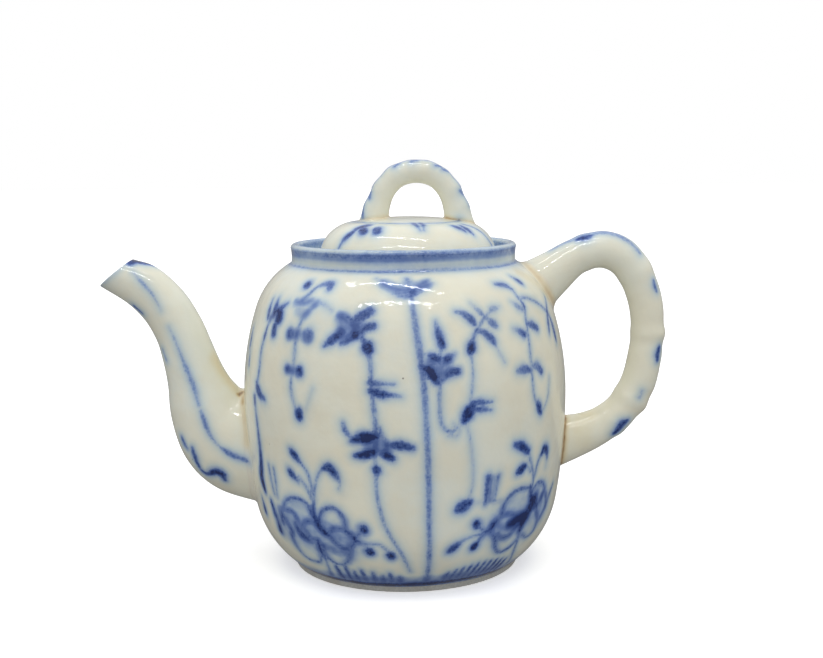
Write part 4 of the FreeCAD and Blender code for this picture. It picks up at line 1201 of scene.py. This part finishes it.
def finish_piece(thing, body, nodes, material, strokes=(), skin=None):
    """Paint, age and place one piece, and hide the CAD nodes it stands for. Paint stays on the
    outer skin when that is given."""
    mesh = thing.data
    count = len(mesh.vertices)
    flat = np.zeros(count * 3)
    mesh.vertices.foreach_get("co", flat)
    points = flat.reshape(-1, 3) / MM
    outer = skin.measure(points)[0] > -SKIN if skin else 1.0
    for name, values in lay_paint(points, strokes).items():
        attribute = mesh.attributes.new(name, "FLOAT", "POINT")
        attribute.data.foreach_set("value", (values * outer).astype(np.float32))
    mesh.vertices.foreach_set("co", (by_hand(points) * MM).ravel())
    mesh.polygons.foreach_set("use_smooth", np.ones(len(mesh.polygons), bool))
    mesh.set_sharp_from_angle(angle=math.radians(38.0))
    mesh.materials.clear()
    mesh.materials.append(material)
    mesh.update()
    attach(thing, body)
    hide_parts(*nodes)
    return thing


def cylinder_cutter(centre, direction, radius, length):
    """A plain round cutter, given in millimetres, for making a hole."""
    angles = around(32)
    direction = np.array(direction, float)
    side = np.cross(direction, (0, 1, 0) if abs(direction[1]) < 0.9 else (1, 0, 0))
    side /= np.linalg.norm(side)
    other = np.cross(direction, side)
    ring = np.array(centre) + radius * (np.cos(angles)[:, None] * side
                                        + np.sin(angles)[:, None] * other)
    points = np.vstack([ring, ring + direction * length])
    faces = [grid_faces(2, 32), [list(range(31, -1, -1))], [list(range(32, 64))]]
    return mesh_object("cutter", points, faces)


def make_pot_body(strokes):
    """The shell of the belly, drilled with one hole and six round it behind the spout."""
    drill_start = -BELLY + 9.0
    drill_length = 14.0
    outline = [(0.0, BASE), (12.0, BASE), (24.0, BASE)] + POT.outline(0.72)
    outline += POT_INSIDE.outline(5.0)[::-1] + [(12.0, FLOOR), (0.0, FLOOR)]
    thing = lathe("pot_body_painted", outline, 480)
    holes = [(0.0, 0.0)] + [(math.cos(angle), math.sin(angle)) for angle in around(6)]
    carve(thing, [cylinder_cutter((drill_start, across * STRAINER_RING,
                                   STRAINER_HEIGHT + rise * STRAINER_RING),
                                  (-1, 0, 0), STRAINER_HOLE, drill_length)
                  for across, rise in holes])
    return finish_piece(thing, "pot", ["pot_body"], PAINTED, strokes, POT)


def make_foot():
    """The ground ring, rounded at its outer edge."""
    edge = 0.5
    outline = [(FOOT_INSIDE + edge, 0.0), (FOOT_RADIUS - edge, 0.0)]
    outline += [(FOOT_RADIUS - edge + edge * math.sin(t), edge - edge * math.cos(t))
                for t in (0.4, 0.8, 1.2)]
    outline += [(FOOT_RADIUS, edge), (FOOT_RADIUS, BASE + 0.25), (FOOT_INSIDE, BASE + 0.25),
                (FOOT_INSIDE, edge)]
    thing = lathe("foot_ring_bare", outline, 360)
    return finish_piece(thing, "pot", ["foot_ring"], BARE_FOOT_SHADED)


def make_collar(strokes):
    """The neck: it leans out a little, and its lip is a full round."""
    lip = (NECK_RADIUS - MOUTH) / 2
    middle = (NECK_RADIUS + MOUTH) / 2
    flare = 0.25
    waist = NECK_RADIUS - 0.35
    waist_z = NECK + 1.4
    outline = [(NECK_RADIUS + 0.5, NECK - 0.35), (NECK_RADIUS + 0.1, NECK + 0.1),
               (NECK_RADIUS - 0.25, NECK + 0.6), (waist, waist_z)]
    outline += [(waist + flare * s ** 2, waist_z + (RIM - lip - waist_z) * s)
                for s in (0.25, 0.5, 0.75, 1.0)]
    outline += [(middle + lip * math.cos(t), RIM - lip + lip * math.sin(t))
                for t in np.linspace(0, math.pi, 13)]
    outline += [(MOUTH, RIM - lip - 1.4), (MOUTH, NECK + 1.2), (MOUTH, NECK - 0.35)]
    thing = lathe("neck_collar_banded", outline, 480)
    return finish_piece(thing, "pot", ["neck_collar"], PAINTED, strokes)


def make_seat():
    """The ledge that the lid rests on, softened at its inner edge."""
    low = SEAT_LOW[2]
    top = SEAT_HIGH[2]
    soft = 0.4
    outline = [(SEAT_INSIDE + soft, low), (MOUTH + 0.4, low), (MOUTH + 0.4, top)]
    outline += [(SEAT_INSIDE + soft - soft * math.sin(t), top - soft + soft * math.cos(t))
                for t in (0.0, 0.5, 1.05, 1.57)]
    outline += [(SEAT_INSIDE, low + soft)]
    thing = lathe("lid_seat_glazed", outline, 360)
    return finish_piece(thing, "pot", ["lid_seat_ring"], PLAIN)


def make_spout(strokes):
    """The hollow spout, from just inside the belly to its mouth."""
    angles = around(144)
    start = join_places(SPOUT_ROOT, angles, -1.0)
    inner = join_places(SPOUT_ROOT, angles, -0.5, -2.6)
    thing = round_bar("spout_painted", SPOUT_BAR, start, SPOUT_BAR.last - 0.06, angles, 220,
                      (2.2, inner, 0.058))
    return finish_piece(thing, "pot", ["spout"], PAINTED, strokes)


def make_handle(strokes):
    """The bamboo handle, with both ends just inside the belly."""
    angles = around(112)
    start = join_places(HANDLE_TOP, angles, -1.0)
    end = join_places(HANDLE_FOOT, angles, -1.0)
    thing = round_bar("handle_painted", HANDLE_BAR, start, end, angles, 340)
    return finish_piece(thing, "pot", ["handle"], PAINTED, strokes)


def make_lid_dome(strokes):
    """The lid's hollow dome and flange, with a steam vent behind the loop."""
    top = LID.outline(0.7)[:-1]
    under = LID_INSIDE.outline(4.0)
    flange_top = NECK + FLANGE_THICK
    edge = 0.7
    outline = [(0.0, under[-1][1])] + under[:-1][::-1]
    outline += [(LID_RING_INSIDE + 1.5, NECK), (FLANGE - edge, NECK)]
    outline += [(FLANGE - edge + edge * math.cos(t), NECK + FLANGE_THICK / 2
                 + FLANGE_THICK / 2 * math.sin(t)) for t in np.linspace(-1.3, 1.3, 7)]
    outline += [(FLANGE - edge, flange_top), (top[0][0] + 0.8, flange_top)]
    outline += top[1:] + [(0.0, LID_TOP)]
    thing = lathe("lid_dome_painted", outline, 420, LID_X)
    carve(thing, [cylinder_cutter((LID_X, VENT_OFFSET, NECK - 2), (0, 0, 1),
                                  VENT_RADIUS, 20.0)])
    return finish_piece(thing, "lid", ["lid_dome"], PAINTED, strokes, LID)


def make_lid_ring():
    """The ring under the lid that keeps it in the seat."""
    low, high = RING_LOW[2], RING_HIGH[2]
    outside = (RING_HIGH[0] - RING_LOW[0]) / 2
    edge = 0.5
    outline = [(LID_RING_INSIDE + edge, low), (outside - edge, low), (outside, low + edge),
               (outside, high + 0.3), (LID_RING_INSIDE, high + 0.3), (LID_RING_INSIDE, low + edge)]
    thing = lathe("lid_locating_ring_glazed", outline, 300, LID_X)
    return finish_piece(thing, "lid", ["lid_locating_ring"], PLAIN)


def make_loop(strokes):
    """The bamboo loop, with both feet just inside the dome."""
    angles = around(96)
    start = join_places(LOOP_SPOUT_SIDE, angles, -0.8)
    end = join_places(LOOP_HANDLE_SIDE, angles, -0.8)
    thing = round_bar("lid_loop_painted", LOOP_BAR, start, end, angles, 260)
    return finish_piece(thing, "lid", ["lid_loop"], PAINTED, strokes)


def make_pieces():
    pot_stains, lid_stains = stains()
    pot_paint = paint_side(0.0) + paint_side(ARC_SCALE * math.pi) + paint_bands()
    pot_paint += paint_spout() + paint_handle() + pot_stains
    lid_paint = paint_lid() + paint_loop() + lid_stains
    make_pot_body(pot_paint)
    make_foot()
    make_collar(pot_paint)
    make_seat()
    make_spout(pot_paint)
    make_handle(pot_paint)
    make_lid_dome(lid_paint)
    make_lid_ring()
    make_loop(lid_paint)
    for name, join, run, body, strokes in [
            ("spout_seam", SPOUT_ROOT, 2.4, "pot", pot_paint),
            ("handle_upper_seam", HANDLE_TOP, 3.0, "pot", pot_paint),
            ("handle_lower_seam", HANDLE_FOOT, 1.1, "pot", pot_paint),
            ("loop_spout_side_seam", LOOP_SPOUT_SIDE, 1.0, "lid", lid_paint),
            ("loop_handle_side_seam", LOOP_HANDLE_SIDE, 1.0, "lid", lid_paint)]:
        thing = seam_ring(name + "_slip", join, run)
        finish_piece(thing, body, [name], SLIP, strokes)


# ---------------------------------------------------------------- stage

def make_floor():
    """A pale floor, in metres, that glows a little and throws no light on the pot."""
    size = 4.0
    mesh = bpy.data.meshes.new("floor")
    mesh.from_pydata([(-size, -size, 0), (size, -size, 0), (size, size, 0), (-size, size, 0)],
                     [], [(0, 1, 2, 3)])
    floor = bpy.data.objects.new("floor", mesh)
    bpy.context.scene.collection.objects.link(floor)
    n = Nodes("pale_floor")
    grain = n.ramp(n.noise(3.0, 2.0), 0.3, 0.7)
    n.put(n.shader.inputs["Base Color"], n.mix(grain, (0.93, 0.93, 0.93), (0.95, 0.95, 0.95)))
    n.shader.inputs["Roughness"].default_value = 0.9
    n.shader.inputs["Specular IOR Level"].default_value = 0.1
    n.shader.inputs["Emission Color"].default_value = (1.0, 1.0, 1.0, 1.0)
    n.shader.inputs["Emission Strength"].default_value = 0.42
    mesh.materials.append(n.material)
    floor.visible_diffuse = False
    floor.visible_glossy = False


def make_backdrop():
    """A wide white shell all round that only the camera sees."""
    columns = 48
    rows = 24
    radius = 9000.0
    angles = around(columns)
    tilts = np.linspace(-UP + 0.02, UP - 0.02, rows)
    points = np.vstack([np.stack([radius * np.cos(t) * np.sin(angles),
                                  -radius * np.cos(t) * np.cos(angles),
                                  np.full(columns, radius * np.sin(t))], 1) for t in tilts])
    thing = mesh_object("backdrop", points, [grid_faces(rows, columns),
                                             [list(range(columns))],
                                             [list(range((rows - 1) * columns, rows * columns))]])
    n = Nodes("white_backdrop")
    n.put(n.shader.inputs["Base Color"], (0.0, 0.0, 0.0, 1.0))
    n.put(n.shader.inputs["Emission Color"], (1.0, 1.0, 1.0, 1.0))
    n.shader.inputs["Emission Strength"].default_value = 1.0
    n.shader.inputs["Specular IOR Level"].default_value = 0.0
    thing.data.materials.append(n.material)
    thing.visible_diffuse = False
    thing.visible_glossy = False
    thing.visible_transmission = False
    thing.visible_shadow = False


def area_light(name, place, target, width, depth, power):
    """A soft rectangle of light aimed at a point; all in metres and watts."""
    light = bpy.data.lights.new(name, "AREA")
    light.shape = "RECTANGLE"
    light.size = width
    light.size_y = depth
    light.energy = power
    lamp = bpy.data.objects.new(name, light)
    bpy.context.scene.collection.objects.link(lamp)
    lamp.location = place
    aim = np.array(target) - np.array(place)
    lamp.rotation_euler = Vector(aim).to_track_quat("-Z", "Y").to_euler()
    return lamp


def make_lights():
    """A soft sky that fades with height and from front to back, a broad lamp overhead for
    the shading, and two narrow strips that only make the highlights on the shoulder."""
    world = bpy.data.worlds.new("studio")
    bpy.context.scene.world = world
    world.use_nodes = True
    nodes, links = world.node_tree.nodes, world.node_tree.links
    background = nodes["Background"]
    way = nodes.new("ShaderNodeTexCoord")
    parts = nodes.new("ShaderNodeSeparateXYZ")
    links.new(way.outputs["Generated"], parts.inputs[0])
    strength = nodes.new("ShaderNodeMath")
    strength.operation = "ADD"
    for socket, axis, numbers in ((0, "Z", (-0.35, 0.9, 0.18, 1.0)),
                                  (1, "Y", (-0.9, 0.5, 0.25, 0.0))):
        fade = nodes.new("ShaderNodeMapRange")
        fade.interpolation_type = "SMOOTHSTEP"
        links.new(parts.outputs[axis], fade.inputs["Value"])
        for name, number in zip(("From Min", "From Max", "To Min", "To Max"), numbers):
            fade.inputs[name].default_value = number
        links.new(fade.outputs[0], strength.inputs[socket])
    links.new(strength.outputs[0], background.inputs["Strength"])
    background.inputs["Color"].default_value = (1.0, 1.0, 1.0, 1.0)
    overhead = area_light("overhead", (0.0, -0.1, 0.85), (0, 0, 0.05), 0.7, 0.7, 0.56)
    overhead.visible_glossy = False
    for name, place, power in (("strip_near", (-0.05, -0.43, 0.70), 1.3),
                               ("strip_far", (-0.04, -0.086, 0.70), 1.0)):
        strip = area_light(name, place, (0, 0, 0.09), 0.6, 0.014, power)
        strip.visible_diffuse = False


def make_camera():
    """The camera is about level with the top of the loop and looks 8 degrees down."""
    camera = bpy.data.cameras.new("camera")
    camera.sensor_width = 36.0
    camera.lens = 56.0
    camera.clip_end = 50.0
    view = bpy.data.objects.new("camera", camera)
    bpy.context.scene.collection.objects.link(view)
    view.location = (0.0028, -0.400, 0.130)
    view.rotation_mode = "XYZ"
    view.rotation_euler = (math.radians(90 - 8.0), math.radians(0.54), 0.0)
    bpy.context.scene.camera = view


make_camera()
make_lights()
make_floor()
make_backdrop()
make_pieces()

scene = bpy.context.scene
scene.view_settings.view_transform = "Standard"
scene.cycles.use_denoising = True
